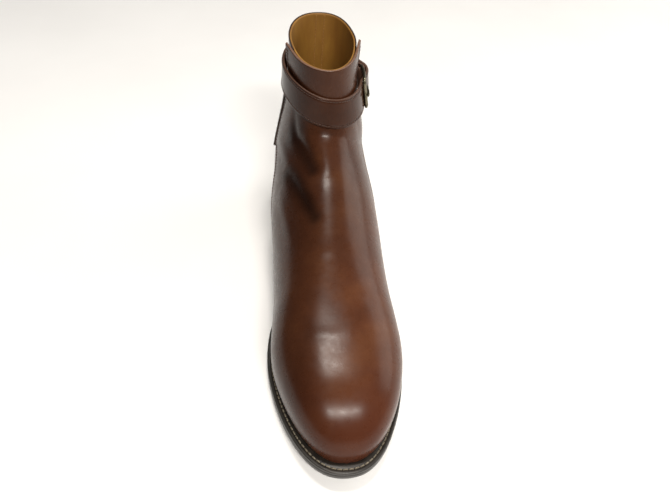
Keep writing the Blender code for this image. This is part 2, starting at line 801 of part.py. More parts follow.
def build_keeper(strap):
    inside = (-SEAM_GAP, 2 * STRAP_THICKNESS + 2 * SEAM_GAP)
    half = STRAP_WIDTH / 2 + SEAM_GAP
    loops = []
    sides = ((0, KEEPER_BACK), (KEEPER_THICKNESS, KEEPER_BACK), (KEEPER_THICKNESS, KEEPER_BACK + KEEPER_WIDTH),
             (0, KEEPER_BACK + KEEPER_WIDTH))
    for lift_side, e_side in ((0, 1), (1, 1), (1, -1), (0, -1)):
        loop = []
        for grow, arc in sides:
            lift = inside[lift_side] + (grow if lift_side else -grow)
            loop.append(strap.place(arc, lift, e_side * (half + grow)))
        loops.append(loop)
    return band("strap_keeper", loops, LEATHER, closed=True)


def build_stay(strap):
    """The stay from the inner quarter up to the inside of the strap, through which the strap is held."""
    places = np.linspace(-0.5, 0.5, STAY_COLUMNS + 1) * STAY_WIDTH
    low, high = SEAM_GAP, SEAM_GAP + STAY_THICKNESS
    loops = []
    for u in np.linspace(STAY_ROOT, STAY_ROOT_END, 7):
        length = float(np.linalg.norm(np.diff(section(u)[-1][1], axis=0), axis=1).sum())
        middle = -(seam(u, -1) + STAY_BEHIND_SEAM)
        loop = []
        for offset, order in ((high, 1), (low, -1)):
            for place in places[::order]:
                v = middle - place / length
                loop.append(world(*(on_upper(u, v) + outward(u, v) * offset)))
        loops.append(np.array(loop))
    for across in np.linspace(-0.5, 0.42, 4) * STRAP_WIDTH:
        loop = []
        for offset, order in ((-low, 1), (-high, -1)):
            for place in places[::order]:
                loop.append(strap.place(strap.round * STAY_ARC - place, offset, across))
        loops.append(np.array(loop))
    return band("strap_stay", loops, LEATHER, closed=False)


for old in list(bpy.data.objects):
    bpy.data.objects.remove(old)
PARTS = bpy.data.collections.new("jodhpur_boot")
CUTTERS = bpy.data.collections.new("cutters")
bpy.context.scene.collection.children.link(PARTS)
bpy.context.scene.collection.children.link(CUTTERS)
LEATHER = material("calf_leather", (0.36, 0.20, 0.14), 0.35)
LINING = material("tan_lining", (0.66, 0.44, 0.16), 0.55)
SOLE_LEATHER = material("sole_leather", (0.11, 0.09, 0.08), 0.45)
RUBBER = material("heel_rubber", (0.08, 0.08, 0.08), 0.7)
METAL = material("dark_metal", (0.30, 0.28, 0.25), 0.35, 1.0)

build_outsole()
build_welt()
build_insole()
build_heel()
build_upper()
STRAP = Strap()
ankle_strap = build_strap(STRAP)
cut(ankle_strap, build_buckle(STRAP))
build_keeper(STRAP)
build_stay(STRAP)
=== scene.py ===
"""Looks of a left jodhpur boot: polished brown calf with soft folds over the instep, an ankle strap with
a dark buckle, a tan lining, a stitched welt and a stacked heel, on a pale floor.

Frame: metres, +Z up, the heel's tread centred on the origin, toe along -Y, outer side +X. "Along" is measured
from the back of the heel's feather edge to the toe. The sizes and tables are those of the boot's solids.
"""

import json
import math

import bmesh
import bpy
import numpy as np
from mathutils import Matrix, Vector

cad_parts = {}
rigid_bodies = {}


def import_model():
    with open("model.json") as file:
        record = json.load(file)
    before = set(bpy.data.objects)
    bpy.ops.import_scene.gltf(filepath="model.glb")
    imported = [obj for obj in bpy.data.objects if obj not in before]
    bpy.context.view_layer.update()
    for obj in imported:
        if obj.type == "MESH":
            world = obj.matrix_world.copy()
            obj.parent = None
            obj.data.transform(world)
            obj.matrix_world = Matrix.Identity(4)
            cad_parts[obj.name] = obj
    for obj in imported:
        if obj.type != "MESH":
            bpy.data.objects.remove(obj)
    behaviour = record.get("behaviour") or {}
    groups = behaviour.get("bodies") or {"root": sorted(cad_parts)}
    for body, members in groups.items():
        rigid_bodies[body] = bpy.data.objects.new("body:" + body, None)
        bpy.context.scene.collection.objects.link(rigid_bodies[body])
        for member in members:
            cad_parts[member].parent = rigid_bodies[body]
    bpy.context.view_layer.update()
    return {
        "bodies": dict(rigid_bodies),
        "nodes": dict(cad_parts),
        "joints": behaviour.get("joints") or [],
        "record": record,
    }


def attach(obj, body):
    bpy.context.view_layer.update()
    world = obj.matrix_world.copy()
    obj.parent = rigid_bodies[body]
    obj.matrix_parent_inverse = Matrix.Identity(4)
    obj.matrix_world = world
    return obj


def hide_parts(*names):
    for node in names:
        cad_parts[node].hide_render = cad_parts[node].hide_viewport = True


MM = 0.001

# Foot
LAST_LENGTH = 306 * MM
BALL_WIDTH = 86 * MM
INSTEP_HEIGHT = 100 * MM
TOE_CAP_LENGTH = 110 * MM
TOE_SQUARENESS = 2.37
TOE_BOX_LENGTH = 46 * MM
TOE_BOX_ROUNDNESS = 2.3
SEAT_CAP_LENGTH = 34 * MM
SEAT_ROUNDNESS = 2.1

# Shaft
SHAFT_WIDTH = 56 * MM
BACK_HEIGHT = 176 * MM
FRONT_HEIGHT = 170 * MM
HORN_RISE = 2.0 * MM
HORN_FLARE = 2.4 * MM

# Leather
WALL = 2.2 * MM
PANEL_RISE = 1.3 * MM
PANEL_SHEET = 2.0 * MM
QUARTER_SHEET = 1.1 * MM
LINING_SHEET = 1.2 * MM
CUT_ROUNDING = 0.9 * MM
UNDERLAP = 8 * MM

# Sole
HEEL_HEIGHT = 25 * MM
HEEL_LENGTH = 76 * MM
HEEL_TAPER = 1.5 * MM
BREAST_CURVE = 7 * MM
TOP_PIECE_THICKNESS = 6.5 * MM
HEEL_LIFTS = 3
OUTSOLE_THICKNESS = 5.2 * MM
WELT_THICKNESS = 3.0 * MM
WELT_INSIDE = 7 * MM
INSOLE_THICKNESS = 2.6 * MM
TOE_SPRING = 8 * MM
SEAM_GAP = 0.3 * MM

# Ankle strap
STRAP_WIDTH = 21.5 * MM
STRAP_THICKNESS = 2.0 * MM
STRAP_HEIGHT = 140.5 * MM
STRAP_RISE_ACROSS = -0.16
STRAP_RISE_ALONG = -0.03
STRAP_CLEARANCE = 0.8 * MM
OUTER_SLACK = 2.4 * MM
INNER_SLACK = 1.5 * MM
STRAP_CENTRE = 48 * MM
STRAP_TIP_LENGTH = 13 * MM
STRAP_OVERLAP = 40 * MM
BUCKLE_LENGTH = 22 * MM
BUCKLE_BAR = 1.2 * MM
BUCKLE_ANGLE = 110
ROLLER_RADIUS = 1.7 * MM
PRONG_RADIUS = 1.0 * MM
KEEPER_BACK = 17 * MM
KEEPER_WIDTH = 5 * MM
KEEPER_THICKNESS = 1.2 * MM
STAY_WIDTH = 16 * MM
STAY_THICKNESS = 2.0 * MM
STAY_ROOT = 10.0
STAY_ROOT_END = 11.1
STAY_BEHIND_SEAM = 0.15
STAY_ARC = 0.39

# Thread
WELT_STITCH = 3.8 * MM
PANEL_STITCH = 2.6 * MM
STRAP_STITCH = 2.4 * MM

# Feather edge in plan before the toe and the seat round it off: half widths in shares of BALL_WIDTH,
# the sole's reach beyond it in mm
PLAN_COLUMNS = ("along", "outer", "inner", "reach")
PLAN = (
    (0.00, 0.385, 0.378, 2.4),
    (0.15, 0.375, 0.368, 2.4),
    (0.30, 0.360, 0.325, 3.4),
    (0.42, 0.378, 0.305, 5.0),
    (0.55, 0.452, 0.356, 7.0),
    (0.65, 0.518, 0.448, 8.4),
    (0.73, 0.524, 0.480, 8.6),
    (0.83, 0.497, 0.470, 8.6),
    (0.92, 0.453, 0.442, 8.6),
    (1.00, 0.410, 0.410, 8.6),
)

# Underside of the outsole in side view: rise in shares of HEEL_HEIGHT
PROFILE_COLUMNS = ("along", "rise")
PROFILE = (
    (0.00, 1.02),
    (0.13, 0.99),
    (0.25, 0.90),
    (0.36, 0.60),
    (0.46, 0.28),
    (0.55, 0.07),
    (0.61, 0.00),
    (0.74, 0.00),
    (1.00, 0.00),
)
TOE_SPRING_START = 0.72
TOE_SPRING_POWER = 1.8

# Sections of the upper from the toe to the collar, each from a low point (under the foot, later up the back)
# to a ridge point on top or in front; the columns are those of the boot's solids
SECTION_COLUMNS = ("foot", "ridge", "back", "top", "front", "outer", "inner", "side", "widest", "low", "high",
                   "seam_outer", "seam_inner")
SECTIONS = (
    (1.000, 1.000, 0.00, 0.520, 0.00, 0.515, 0.485, 0.00, 0.30, 2.0, 2.90, 1.00, 1.00),
    (0.873, 0.873, 0.00, 0.560, 0.00, 0.552, 0.525, -0.02, 0.30, 2.0, 2.75, 1.00, 1.00),
    (0.773, 0.775, 0.00, 0.610, 0.00, 0.566, 0.545, -0.04, 0.29, 2.0, 2.50, 1.00, 1.00),
    (0.690, 0.697, 0.00, 0.675, 0.00, 0.552, 0.520, -0.05, 0.27, 2.0, 2.25, 1.00, 1.00),
    (0.610, 0.625, 0.00, 0.760, 0.00, 0.536, 0.490, -0.05, 0.26, 2.0, 2.00, 1.00, 1.00),
    (0.525, 0.550, 0.00, 0.860, 0.00, 0.522, 0.480, -0.04, 0.27, 2.0, 1.90, 1.00, 1.00),
    (0.435, 0.484, 0.00, 0.950, 0.00, 0.515, 0.480, -0.03, 0.29, 2.0, 1.85, 0.86, 0.92),
    (0.335, 0.432, 0.00, 1.000, 0.03, 0.500, 0.485, -0.02, 0.32, 2.0, 1.85, 0.70, 0.78),
    (0.230, 0.387, 0.00, 1.000, 0.10, 0.480, 0.470, -0.01, 0.34, 2.0, 1.85, 0.57, 0.66),
    (0.120, 0.349, 0.00, 1.000, 0.19, 0.455, 0.450, 0.00, 0.36, 2.0, 1.90, 0.49, 0.55),
    (0.000, 0.319, 0.00, 1.000, 0.31, 0.430, 0.430, 0.00, 0.40, 2.0, 1.95, 0.46, 0.49),
    (-0.008, 0.301, 0.20, 1.000, 0.46, 0.630, 0.590, 0.00, 0.43, 2.0, 2.00, 0.46, 0.48),
    (0.006, 0.291, 0.46, 1.000, 0.63, 0.520, 0.505, 0.00, 0.46, 2.1, 2.00, 0.48, 0.47),
    (0.020, 0.286, 0.73, 1.000, 0.81, 0.445, 0.470, 0.00, 0.49, 2.2, 2.00, 0.48, 0.45),
    (0.019, 0.284, 1.00, 1.000, 1.00, 0.425, 0.490, 0.00, 0.50, 2.3, 2.00, 0.47, 0.42),
)
SEAM_START = 5
SEAT = 10
COLLAR = 14

# How closely the surfaces are sampled
FOOT_ROWS = 250
SHAFT_ROWS = 110
HALF_COLUMNS = 120
SOFTENED = 3.5 * MM
PANEL_STEPS = 170
QUARTER_STEPS = 60
SOLE_STATIONS = 120
STRAP_STATIONS = 300

HEEL_CENTRE = HEEL_LENGTH / 2

# Camera: where the photograph was taken from, turned sideways to put the boot in the middle
CAMERA_AT = (-0.0507, -0.4157, 0.3772)
CAMERA_DOWN = 46.9
CAMERA_YAW = 0.7
CAMERA_ROLL = -0.9
CAMERA_ASIDE = 6.8
IMAGE_WIDTH = 670
FOCAL_PIXELS = 567.6
SENSOR_WIDTH = 36


# Tables and curves


def column(names, rows, name):
    return np.array([row[names.index(name)] for row in rows], float)


def spline(xs, ys, at):
    """Smooth curve through the points (xs, ys) with three-point slopes."""
    at = np.clip(np.asarray(at, float), xs[0], xs[-1])
    step = np.diff(xs)
    rise = np.diff(ys) / step
    slope = np.empty_like(ys)
    slope[0], slope[-1] = rise[0], rise[-1]
    slope[1:-1] = (rise[:-1] * step[1:] + rise[1:] * step[:-1]) / (step[:-1] + step[1:])
    i = np.clip(np.searchsorted(xs, at) - 1, 0, len(step) - 1)
    t = (at - xs[i]) / step[i]
    start = (2 * t**3 - 3 * t**2 + 1) * ys[i] + (t**3 - 2 * t**2 + t) * step[i] * slope[i]
    return start + (3 * t**2 - 2 * t**3) * ys[i + 1] + (t**3 - t**2) * step[i] * slope[i + 1]


def smooth_step(t):
    t = np.clip(t, 0, 1)
    return t * t * (3 - 2 * t)


def cap(distance, length, roundness):
    """1 inside, falling to 0 at the tip like a rounded end of the given length."""
    x = np.clip(1 - np.asarray(distance, float) / length, 0, 1)
    return (1 - x**roundness) ** (1 / roundness)


def normalised(vectors):
    return vectors / np.maximum(np.linalg.norm(vectors, axis=-1, keepdims=True), 1e-12)


def plan(name, along):
    xs = column(PLAN_COLUMNS, PLAN, "along")
    return spline(xs, column(PLAN_COLUMNS, PLAN, name), np.asarray(along) / LAST_LENGTH)


def feather(along):
    """Half widths of the feather edge, outer and inner."""
    toe = cap(LAST_LENGTH - along, TOE_CAP_LENGTH, TOE_SQUARENESS)
    ends = toe * cap(along, SEAT_CAP_LENGTH, SEAT_ROUNDNESS)
    return BALL_WIDTH * plan("outer", along) * ends, BALL_WIDTH * plan("inner", along) * ends


def outline(reach, stations=SOLE_STATIONS, last=None):
    """The feather edge moved outwards: along, outer and inner half widths at stations from heel to toe."""
    turn = np.linspace(0, math.pi, 1200)
    along = LAST_LENGTH * (1 - np.cos(turn)) / 2
    moved = []
    for half in feather(along):
        dx, ds = np.gradient(half), np.gradient(along)
        size = np.hypot(dx, ds)
        moved.append((along - reach(along) * dx / size, half + reach(along) * ds / size))
    first = moved[0][0][0]
    end = moved[0][0][-1]
    if last is None:
        places = first + (end - first) * (1 - np.cos(np.linspace(0, math.pi, stations + 1))) / 2
    else:
        places = first + (last - first) * (1 - np.cos(np.linspace(0, math.pi / 2, stations + 1)))
    halves = [np.interp(places, side[0], side[1]) for side in moved]
    for half in halves:
        half[0] = 0
        if last is None:
            half[-1] = 0
    return places, halves[0], halves[1]


def welt_reach(along):
    return MM * plan("reach", along)


def underside(along):
    share = np.asarray(along) / LAST_LENGTH
    rise = spline(column(PROFILE_COLUMNS, PROFILE, "along"), column(PROFILE_COLUMNS, PROFILE, "rise"), share)
    toe = np.clip((share - TOE_SPRING_START) / (1 - TOE_SPRING_START), 0, None) ** TOE_SPRING_POWER
    return HEEL_HEIGHT * np.maximum(rise, 0) + TOE_SPRING * toe


def welt_bottom(along):
    return underside(along) + OUTSOLE_THICKNESS + SEAM_GAP


def welt_top(along):
    return welt_bottom(along) + WELT_THICKNESS


def feather_height(along):
    return welt_top(along) + SEAM_GAP


def world(places):
    """From (x, along, z) to the row frame."""
    places = np.asarray(places, float)
    return places * (1, -1, 1) + (0, HEEL_CENTRE, 0)


# The upper's form


def section_table():
    table = {name: column(SECTION_COLUMNS, SECTIONS, name) for name in SECTION_COLUMNS}
    unit_width = np.where(table["back"] > 0, SHAFT_WIDTH, BALL_WIDTH)
    table["outer"] = table["outer"] * unit_width
    table["inner"] = table["inner"] * unit_width
    return table


TABLE = section_table()
ROWS = np.arange(len(SECTIONS), dtype=float)


def row_value(name, u):
    return spline(ROWS, TABLE[name], u)


def low_point(name, u):
    """Like row_value, with a corner where the feather edge turns up the back."""
    part = slice(SEAT, None) if u > SEAT else slice(0, SEAT + 1)
    return float(spline(ROWS[part], TABLE[name][part], u))


def seam(u, side):
    """Share of the way from the ridge to the low point that the front panel covers."""
    u = np.asarray(u, float)
    covered = np.where(np.asarray(side) > 0, row_value("seam_outer", u), row_value("seam_inner", u))
    return np.where(u <= SEAM_START, 1.0, np.minimum(covered, 1.0))


def section(u, side):
    """One side of the section at row u: shares of the way from the ridge, with their points."""
    foot = LAST_LENGTH * low_point("foot", u)
    on_sole = min(max(foot, 0.0), LAST_LENGTH)
    back = low_point("back", u)
    low_z = float(feather_height(on_sole)) + back * (BACK_HEIGHT - float(feather_height(0.0)))
    edge = float(feather(on_sole)[0 if side > 0 else 1]) if u < SEAT else 0.0
    toe = LAST_LENGTH - foot
    blunt = float(cap(toe, TOE_CAP_LENGTH, TOE_SQUARENESS))
    ridge_z = INSTEP_HEIGHT * row_value("top", u) + row_value("front", u) * (FRONT_HEIGHT - INSTEP_HEIGHT)
    ridge_z = low_z + (ridge_z - low_z) * float(cap(toe, TOE_BOX_LENGTH, TOE_BOX_ROUNDNESS))
    ridge = LAST_LENGTH * row_value("ridge", u)
    widest = float(row_value("widest", u))
    shift = float(row_value("side", u) * row_value("outer", u)) * blunt
    turn = np.linspace(0, math.pi / 2, 60)
    half = max(float(row_value("outer" if side > 0 else "inner", u)) * blunt, edge)
    low, high = float(row_value("low", u)), float(row_value("high", u))
    tuck = min(edge / max(half, 1e-9), 0.98)
    start = (1 - tuck**low) ** (1 / low)
    under = start * np.cos(turn)
    lower_x = half * (1 - under**low) ** (1 / low) + (edge - tuck * half) * np.cos(turn) ** 2
    lower_t = widest * (1 - np.cos(turn))
    upper_x = half * (1 - np.sin(turn) ** high) ** (1 / high)
    upper_t = widest + (1 - widest) * np.sin(turn)
    x = side * np.concatenate([lower_x, upper_x[1:]])
    t = np.concatenate([lower_t, upper_t[1:]])
    x = x + shift * np.clip((t - widest) / (1 - widest), 0, 1) ** 2
    points = np.stack([x, foot + (ridge - foot) * t, low_z + (ridge_z - low_z) * t], axis=1)[::-1]
    length = np.concatenate([[0], np.cumsum(np.linalg.norm(np.diff(points, axis=0), axis=1))])
    return length / max(length[-1], 1e-9), points


def section_points(u, shares):
    """Points at the given shares of both sides of the section, from the inner low point to the outer one."""
    halves = []
    for side in (-1, 1):
        share, points = section(u, side)
        halves.append(np.stack([np.interp(shares, share, points[:, axis]) for axis in range(3)], axis=1))
    return np.concatenate([halves[0][:0:-1], halves[1]])


def even_rows(start, end, count):
    """Rows about equally far apart on the leather."""
    t = np.linspace(0, 1, 420)
    us = start + (end - start) * (t**2 if start == 0 else t)
    guides = np.array([section_points(u, np.array([0, 0.45, 0.85])) for u in us])
    steps = np.linalg.norm(np.diff(guides, axis=0), axis=2).mean(axis=1)
    gone = np.concatenate([[0], np.cumsum(steps)])
    return np.interp(np.linspace(0, gone[-1], count + 1), gone, us)


def blurred(values, reach, wrap):
    """Values softened along their first axis over a reach in steps; the ends stay where they are."""
    span = int(3 * reach) + 1
    kernel = np.exp(-0.5 * (np.arange(-span, span + 1) / reach) ** 2)
    kernel /= kernel.sum()
    if wrap:
        padded = np.concatenate([values[-span - 1:-1], values, values[1:span + 1]])
    else:
        before, after = 2 * values[:1] - values[span:0:-1], 2 * values[-1:] - values[-2:-span - 2:-1]
        padded = np.concatenate([before, values, after])
    return sum(w * padded[k:k + len(values)] for k, w in enumerate(kernel))


class Form:
    """The leather's surface under the panel: a grid of rows from toe to collar and of columns from -1, the
    inner low point, over 0, the ridge, to 1, the outer low point."""

    def __init__(self):
        foot = even_rows(0, SEAT, FOOT_ROWS)
        shaft = even_rows(SEAT, COLLAR, SHAFT_ROWS)
        self.us = np.concatenate([foot, shaft[1:]])
        self.vs = np.linspace(-1, 1, 2 * HALF_COLUMNS + 1)
        shares = np.linspace(0, 1, HALF_COLUMNS + 1)
        points = np.array([section_points(u, shares) for u in self.us])
        where = np.abs(self.vs)
        side = np.where(self.vs >= 0, 1, -1)
        horn = np.exp(-(((where - seam(COLLAR, side)) / 0.12) ** 2))
        points[..., 2] += HORN_RISE * np.maximum(self.us[:, None] - COLLAR + 1, 0) ** 2 * horn
        self.points = self.softened(points)
        self.measure()

    def softened(self, points):
        """The sections blended into each other; the feather edge and the collar keep their places."""
        row_step = np.linalg.norm(np.diff(points[:, HALF_COLUMNS], axis=0), axis=1).mean()
        free = 1 - smooth_step((np.abs(self.vs) - 0.80) / 0.15)[None, :, None]
        points = points + free * (blurred(points, SOFTENED / row_step, False) - points)
        for rows, wrap in ((self.us < SEAT, False), (self.us >= SEAT, True)):
            across = points[rows].transpose(1, 0, 2)
            points[rows] = blurred(across, 3.0, wrap).transpose(1, 0, 2)
        return points

    def measure(self):
        """Normals, and the length of each side of each row."""
        up = np.gradient(self.points, axis=0)
        across = np.gradient(self.points, axis=1)
        closed = self.us >= SEAT
        wrapped = self.points[:, 1] - self.points[:, -2]
        across[closed, 0] = across[closed, -1] = wrapped[closed] / 2
        normals = np.cross(up, across)
        edge = smooth_step((np.abs(self.vs) - 0.93) / 0.07)[None, :]
        normals[..., 2] *= np.where(self.us[:, None] < SEAT, 1 - edge, 1)
        normals[closed, 0] = normals[closed, -1] = (normals[closed, 0] + normals[closed, -1]) / 2
        normals[0] = (0, 1, 0)
        self.normals = normalised(normals)
        steps = np.linalg.norm(np.diff(self.points, axis=1), axis=2)
        self.inner_length = steps[:, :HALF_COLUMNS].sum(axis=1)
        self.outer_length = steps[:, HALF_COLUMNS:].sum(axis=1)

    def length(self, u, side):
        lengths = np.where(np.asarray(side) > 0, np.interp(u, self.us, self.outer_length),
                           np.interp(u, self.us, self.inner_length))
        return np.maximum(lengths, 1e-5)

    def sample(self, grid, u, v):
        u, v = np.broadcast_arrays(np.asarray(u, float), np.asarray(v, float))
        v = np.where(v > 1, v - 2, np.where(v < -1, v + 2, v))
        row = np.interp(u, self.us, np.arange(len(self.us)))
        col = (v + 1) * HALF_COLUMNS
        i = np.clip(row.astype(int), 0, len(self.us) - 2)
        j = np.clip(col.astype(int), 0, len(self.vs) - 2)
        a, b = (row - i)[..., None], (col - j)[..., None]
        low = grid[i, j] * (1 - b) + grid[i, j + 1] * b
        high = grid[i + 1, j] * (1 - b) + grid[i + 1, j + 1] * b
        return low * (1 - a) + high * a

    def place(self, u, v, offset=0.0):
        """Point in (x, along, z) at an offset off the surface."""
        offset = np.asarray(offset, float)[..., None]
        return self.sample(self.points, u, v) + self.normal(u, v) * offset

    def normal(self, u, v):
        return normalised(self.sample(self.normals, u, v))

    def press(self, depth):
        """Moves each point of the grid out along its normal."""
        self.points = self.points + self.normals * depth[..., None]
        self.measure()


def panel_rise(u, v):
    """The front panel's outer side above the quarters' outer side."""
    edge = np.minimum(np.abs(v) / seam(u, v), 1.0)
    return PANEL_RISE + HORN_FLARE * smooth_step((np.asarray(u) - COLLAR + 1.5) / 1.5) * edge**6


# Folds of the worn leather, as start, end, width and depth: places are (row, column) on the form, depth is
# inwards, and each fold fades out at its ends
FOLDS = (
    ((11.8, -0.24), (7.6, -0.07), 4.6 * MM, 1.5 * MM), ((8.5, -0.34), (5.3, -0.10), 5.0 * MM, 1.3 * MM),
    ((10.4, -0.39), (8.0, -0.27), 5.5 * MM, -0.7 * MM), ((7.6, -0.45), (5.0, -0.31), 5.5 * MM, -0.6 * MM),
    ((11.4, 0.11), (4.6, 0.09), 7.0 * MM, -0.6 * MM), ((12.1, 0.12), (10.2, 0.32), 5.5 * MM, 0.7 * MM),
    ((4.6, -0.26), (4.4, 0.24), 5.0 * MM, 0.25 * MM), ((3.3, 0.10), (3.1, 0.36), 5.5 * MM, 0.4 * MM),
    ((2.04, -0.42), (1.96, 0.10), 5.5 * MM, 0.32 * MM), ((10.0, -0.06), (7.4, 0.02), 7.0 * MM, -1.0 * MM),
)


def fold_depth(form):
    """How far the folds move each point of the form."""
    total = np.zeros(form.points.shape[:2])
    for (u0, v0), (u1, v1), width, depth in FOLDS:
        t = np.linspace(0, 1, 13)
        path = form.place(u0 + (u1 - u0) * t, v0 + (v1 - v0) * t)
        away = np.full(total.shape, np.inf)
        where = np.zeros(total.shape)
        for k in range(len(t) - 1):
            run = path[k + 1] - path[k]
            share = np.clip((form.points - path[k]) @ run / (run @ run), 0, 1)
            gap = np.linalg.norm(form.points - path[k] - share[..., None] * run, axis=2)
            nearer = gap < away
            away = np.where(nearer, gap, away)
            where = np.where(nearer, (k + share) / (len(t) - 1), where)
        fade = np.sin(np.pi * where) ** 0.8
        total -= depth * fade * np.exp(-((away / width) ** 2))
    return total


# Making meshes


def quads(rows, columns, start=0):
    i, j = np.meshgrid(np.arange(rows - 1), np.arange(columns - 1), indexing="ij")
    a = (start + i * columns + j).ravel()
    return np.stack([a, a + 1, a + columns + 1, a + columns], axis=1)


def piece(name, places, faces, materials, nodes=(), choice=None, join=True):
    """A piece of the boot from points in (x, along, z) and faces, riding on the boot, standing for nodes."""
    mesh = bpy.data.meshes.new(name)
    mesh.from_pydata(world(places).tolist(), [], [list(face) for face in faces])
    if choice is not None:
        mesh.polygons.foreach_set("material_index", np.asarray(choice, np.int32))
    for material in materials:
        mesh.materials.append(material)
    bm = bmesh.new()
    bm.from_mesh(mesh)
    if join:
        bmesh.ops.remove_doubles(bm, verts=bm.verts, dist=0.004 * MM)
        bmesh.ops.dissolve_degenerate(bm, edges=bm.edges, dist=0.002 * MM)
    bmesh.ops.recalc_face_normals(bm, faces=bm.faces)
    bm.to_mesh(mesh)
    bm.free()
    mesh.shade_smooth()
    mesh.set_sharp_from_angle(angle=math.radians(50))
    made = bpy.data.objects.new(name, mesh)
    bpy.context.scene.collection.objects.link(made)
    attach(made, "root")
    if nodes:
        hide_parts(*nodes)
    return made


def swept(loops, closed):
    """Points and faces of a body swept through loops of points, its ends filled where it isn't a ring."""
    loops = np.asarray(loops)
    count, size = loops.shape[:2]
    k = np.arange(count if closed else count - 1)
    j = np.arange(size)
    a = (k[:, None] * size + j).ravel()
    b = (k[:, None] * size + (j + 1) % size).ravel()
    c = ((k[:, None] + 1) % count * size + (j + 1) % size).ravel()
    d = ((k[:, None] + 1) % count * size + j).ravel()
    faces = np.stack([a, b, c, d], axis=1).tolist()
    if not closed:
        faces.append(list(range(size)))
        faces.append(list(range((count - 1) * size, count * size)))
    return loops.reshape(-1, 3), faces


def resampled(path, spacing):
    """Points at an even spacing along a path, and the path's directions there."""
    length = np.concatenate([[0], np.cumsum(np.linalg.norm(np.diff(path, axis=0), axis=1))])
    count = max(int(length[-1] / spacing), 1)
    at = (np.arange(count) + 0.5) * length[-1] / count
    points = np.stack([np.interp(at, length, path[:, axis]) for axis in range(3)], axis=1)
    ahead = np.stack([np.interp(at + 0.2 * MM, length, path[:, axis]) for axis in range(3)], axis=1)
    behind = np.stack([np.interp(at - 0.2 * MM, length, path[:, axis]) for axis in range(3)], axis=1)
    return points, normalised(ahead - behind), at / length[-1]


def stitches(name, rows, pitch, radius, material):
    """Rows of thread: each stitch is a short rounded length that rises from one hole and sinks into the next.
    A row is a path with its normals."""
    bow = np.array([(-0.50, -0.9, 0.55), (-0.40, -0.1, 0.9), (-0.18, 0.45, 1.0), (0.18, 0.45, 1.0),
                    (0.40, -0.1, 0.9), (0.50, -0.9, 0.55)])
    turn = np.linspace(0, 2 * math.pi, 7)[:-1]
    places, faces = [], []
    for path, normals in rows:
        points, heading, share = resampled(path, pitch)
        steps = np.linspace(0, 1, len(normals))
        up = normalised(np.stack([np.interp(share, steps, normals[:, axis]) for axis in range(3)], axis=1))
        side = normalised(np.cross(heading, up))
        for point, ahead, above, aside in zip(points, heading, up, side):
            loops = []
            for reach, lift, size in bow:
                centre = point + ahead * reach * pitch * 0.86 + above * lift * radius
                spokes = [math.cos(a) * aside + math.sin(a) * above for a in turn]
                loops.append([centre + radius * size * spoke for spoke in spokes])
            start = sum(len(block) for block in places)
            block, made = swept(loops, closed=False)
            places.append(block)
            faces.extend([[i + start for i in face] for face in made])
    return piece(name, np.concatenate(places), faces, [material], join=False)


# Painted shade on the calf: each easing is (start, end, value at start, value at end), its places in metres
# Painted shade at the toe: the colour is mixed towards a darker red brown there
TOE_PAINTED_SHADE = (-0.205, -0.262, 0.0, 0.55)
# Painted shade: darker towards the inner side
INNER_SHADE = (-0.045, 0.012, 0.45, 1.0)
# Painted shade: darker up the shaft
SHAFT_SHADE = (0.060, 0.095, 1.0, 0.66)
# The colour of the painted shade at the toe
TOE_SHADE_COLOUR = "#4a2314"
# Painted shade along two deep creases: how far it reaches, its darkest factor, and the creases seen from
# above
CREASE_SHADE_REACH = 8.0 * MM
CREASE_SHADE_DARKEST = 0.38
PAINTED_SHADE_CREASES = (
    ((-0.025, -0.040, 0), (-0.011, -0.080, 0)),
    ((-0.030, -0.066, 0), (-0.012, -0.116, 0)),
)


def paint(hexcode):
    """A colour given as sRGB hex, as linear values."""
    values = [int(hexcode[i:i + 2], 16) / 255 for i in (1, 3, 5)]
    return (*[v / 12.92 if v <= 0.04045 else ((v + 0.055) / 1.055) ** 2.4 for v in values], 1.0)


def add(tree, kind, inputs=None, stops=None, **settings):
    """A shader node with its settings, its inputs set or linked, and a ramp's stops as (place, hex)."""
    made = tree.nodes.new("ShaderNode" + kind)
    for name, value in settings.items():
        setattr(made, name, value)
    for name, value in (inputs or {}).items():
        if isinstance(value, bpy.types.NodeSocket):
            tree.links.new(value, made.inputs[name])
        else:
            made.inputs[name].default_value = value
    if stops:
        for k, (place, hexcode) in enumerate(stops):
            mark = made.color_ramp.elements[k] if k < 2 else made.color_ramp.elements.new(place)
            mark.position = place
            mark.color = paint(hexcode)
    return made


def finish_named(name, **settings):
    """A material with its shader's plain settings, as the material, tree, shader and object coordinates."""
    made = bpy.data.materials.new(name)
    made.use_nodes = True
    tree = made.node_tree
    shader = tree.nodes["Principled BSDF"]
    for setting, value in settings.items():
        shader.inputs[setting.replace("_", " ")].default_value = value
    return made, tree, shader, add(tree, "TexCoord").outputs["Object"]


def eased(tree, value, start, end, low, high):
    """A value eased from low, at start, to high, at end."""
    return add(tree, "MapRange", {"Value": value, "From Min": start, "From Max": end, "To Min": low,
                                  "To Max": high}, interpolation_type="SMOOTHSTEP").outputs["Result"]


def painted_crease_shade(tree, place, start, end):
    """Painted shade in a deep crease: a factor that drops near the line from start to end, seen from above.
    """
    start, along = Vector(start), Vector(end) - Vector(start)
    flat = add(tree, "VectorMath", {0: place, 1: (1.0, 1.0, 0.0)}, operation="MULTIPLY")
    gone = add(tree, "VectorMath", {0: flat.outputs["Vector"], 1: start}, operation="SUBTRACT")
    share = add(tree, "VectorMath", {0: gone.outputs["Vector"], 1: along / along.length_squared},
                operation="DOT_PRODUCT")
    kept = add(tree, "Clamp", {"Value": share.outputs["Value"]})
    nearest = add(tree, "VectorMath", {0: along, 3: kept.outputs["Result"]}, operation="SCALE")
    gap = add(tree, "VectorMath", {0: gone.outputs["Vector"], 1: nearest.outputs["Vector"]},
              operation="DISTANCE")
    return eased(tree, gap.outputs["Value"], 0.0, CREASE_SHADE_REACH, CREASE_SHADE_DARKEST, 1.0)


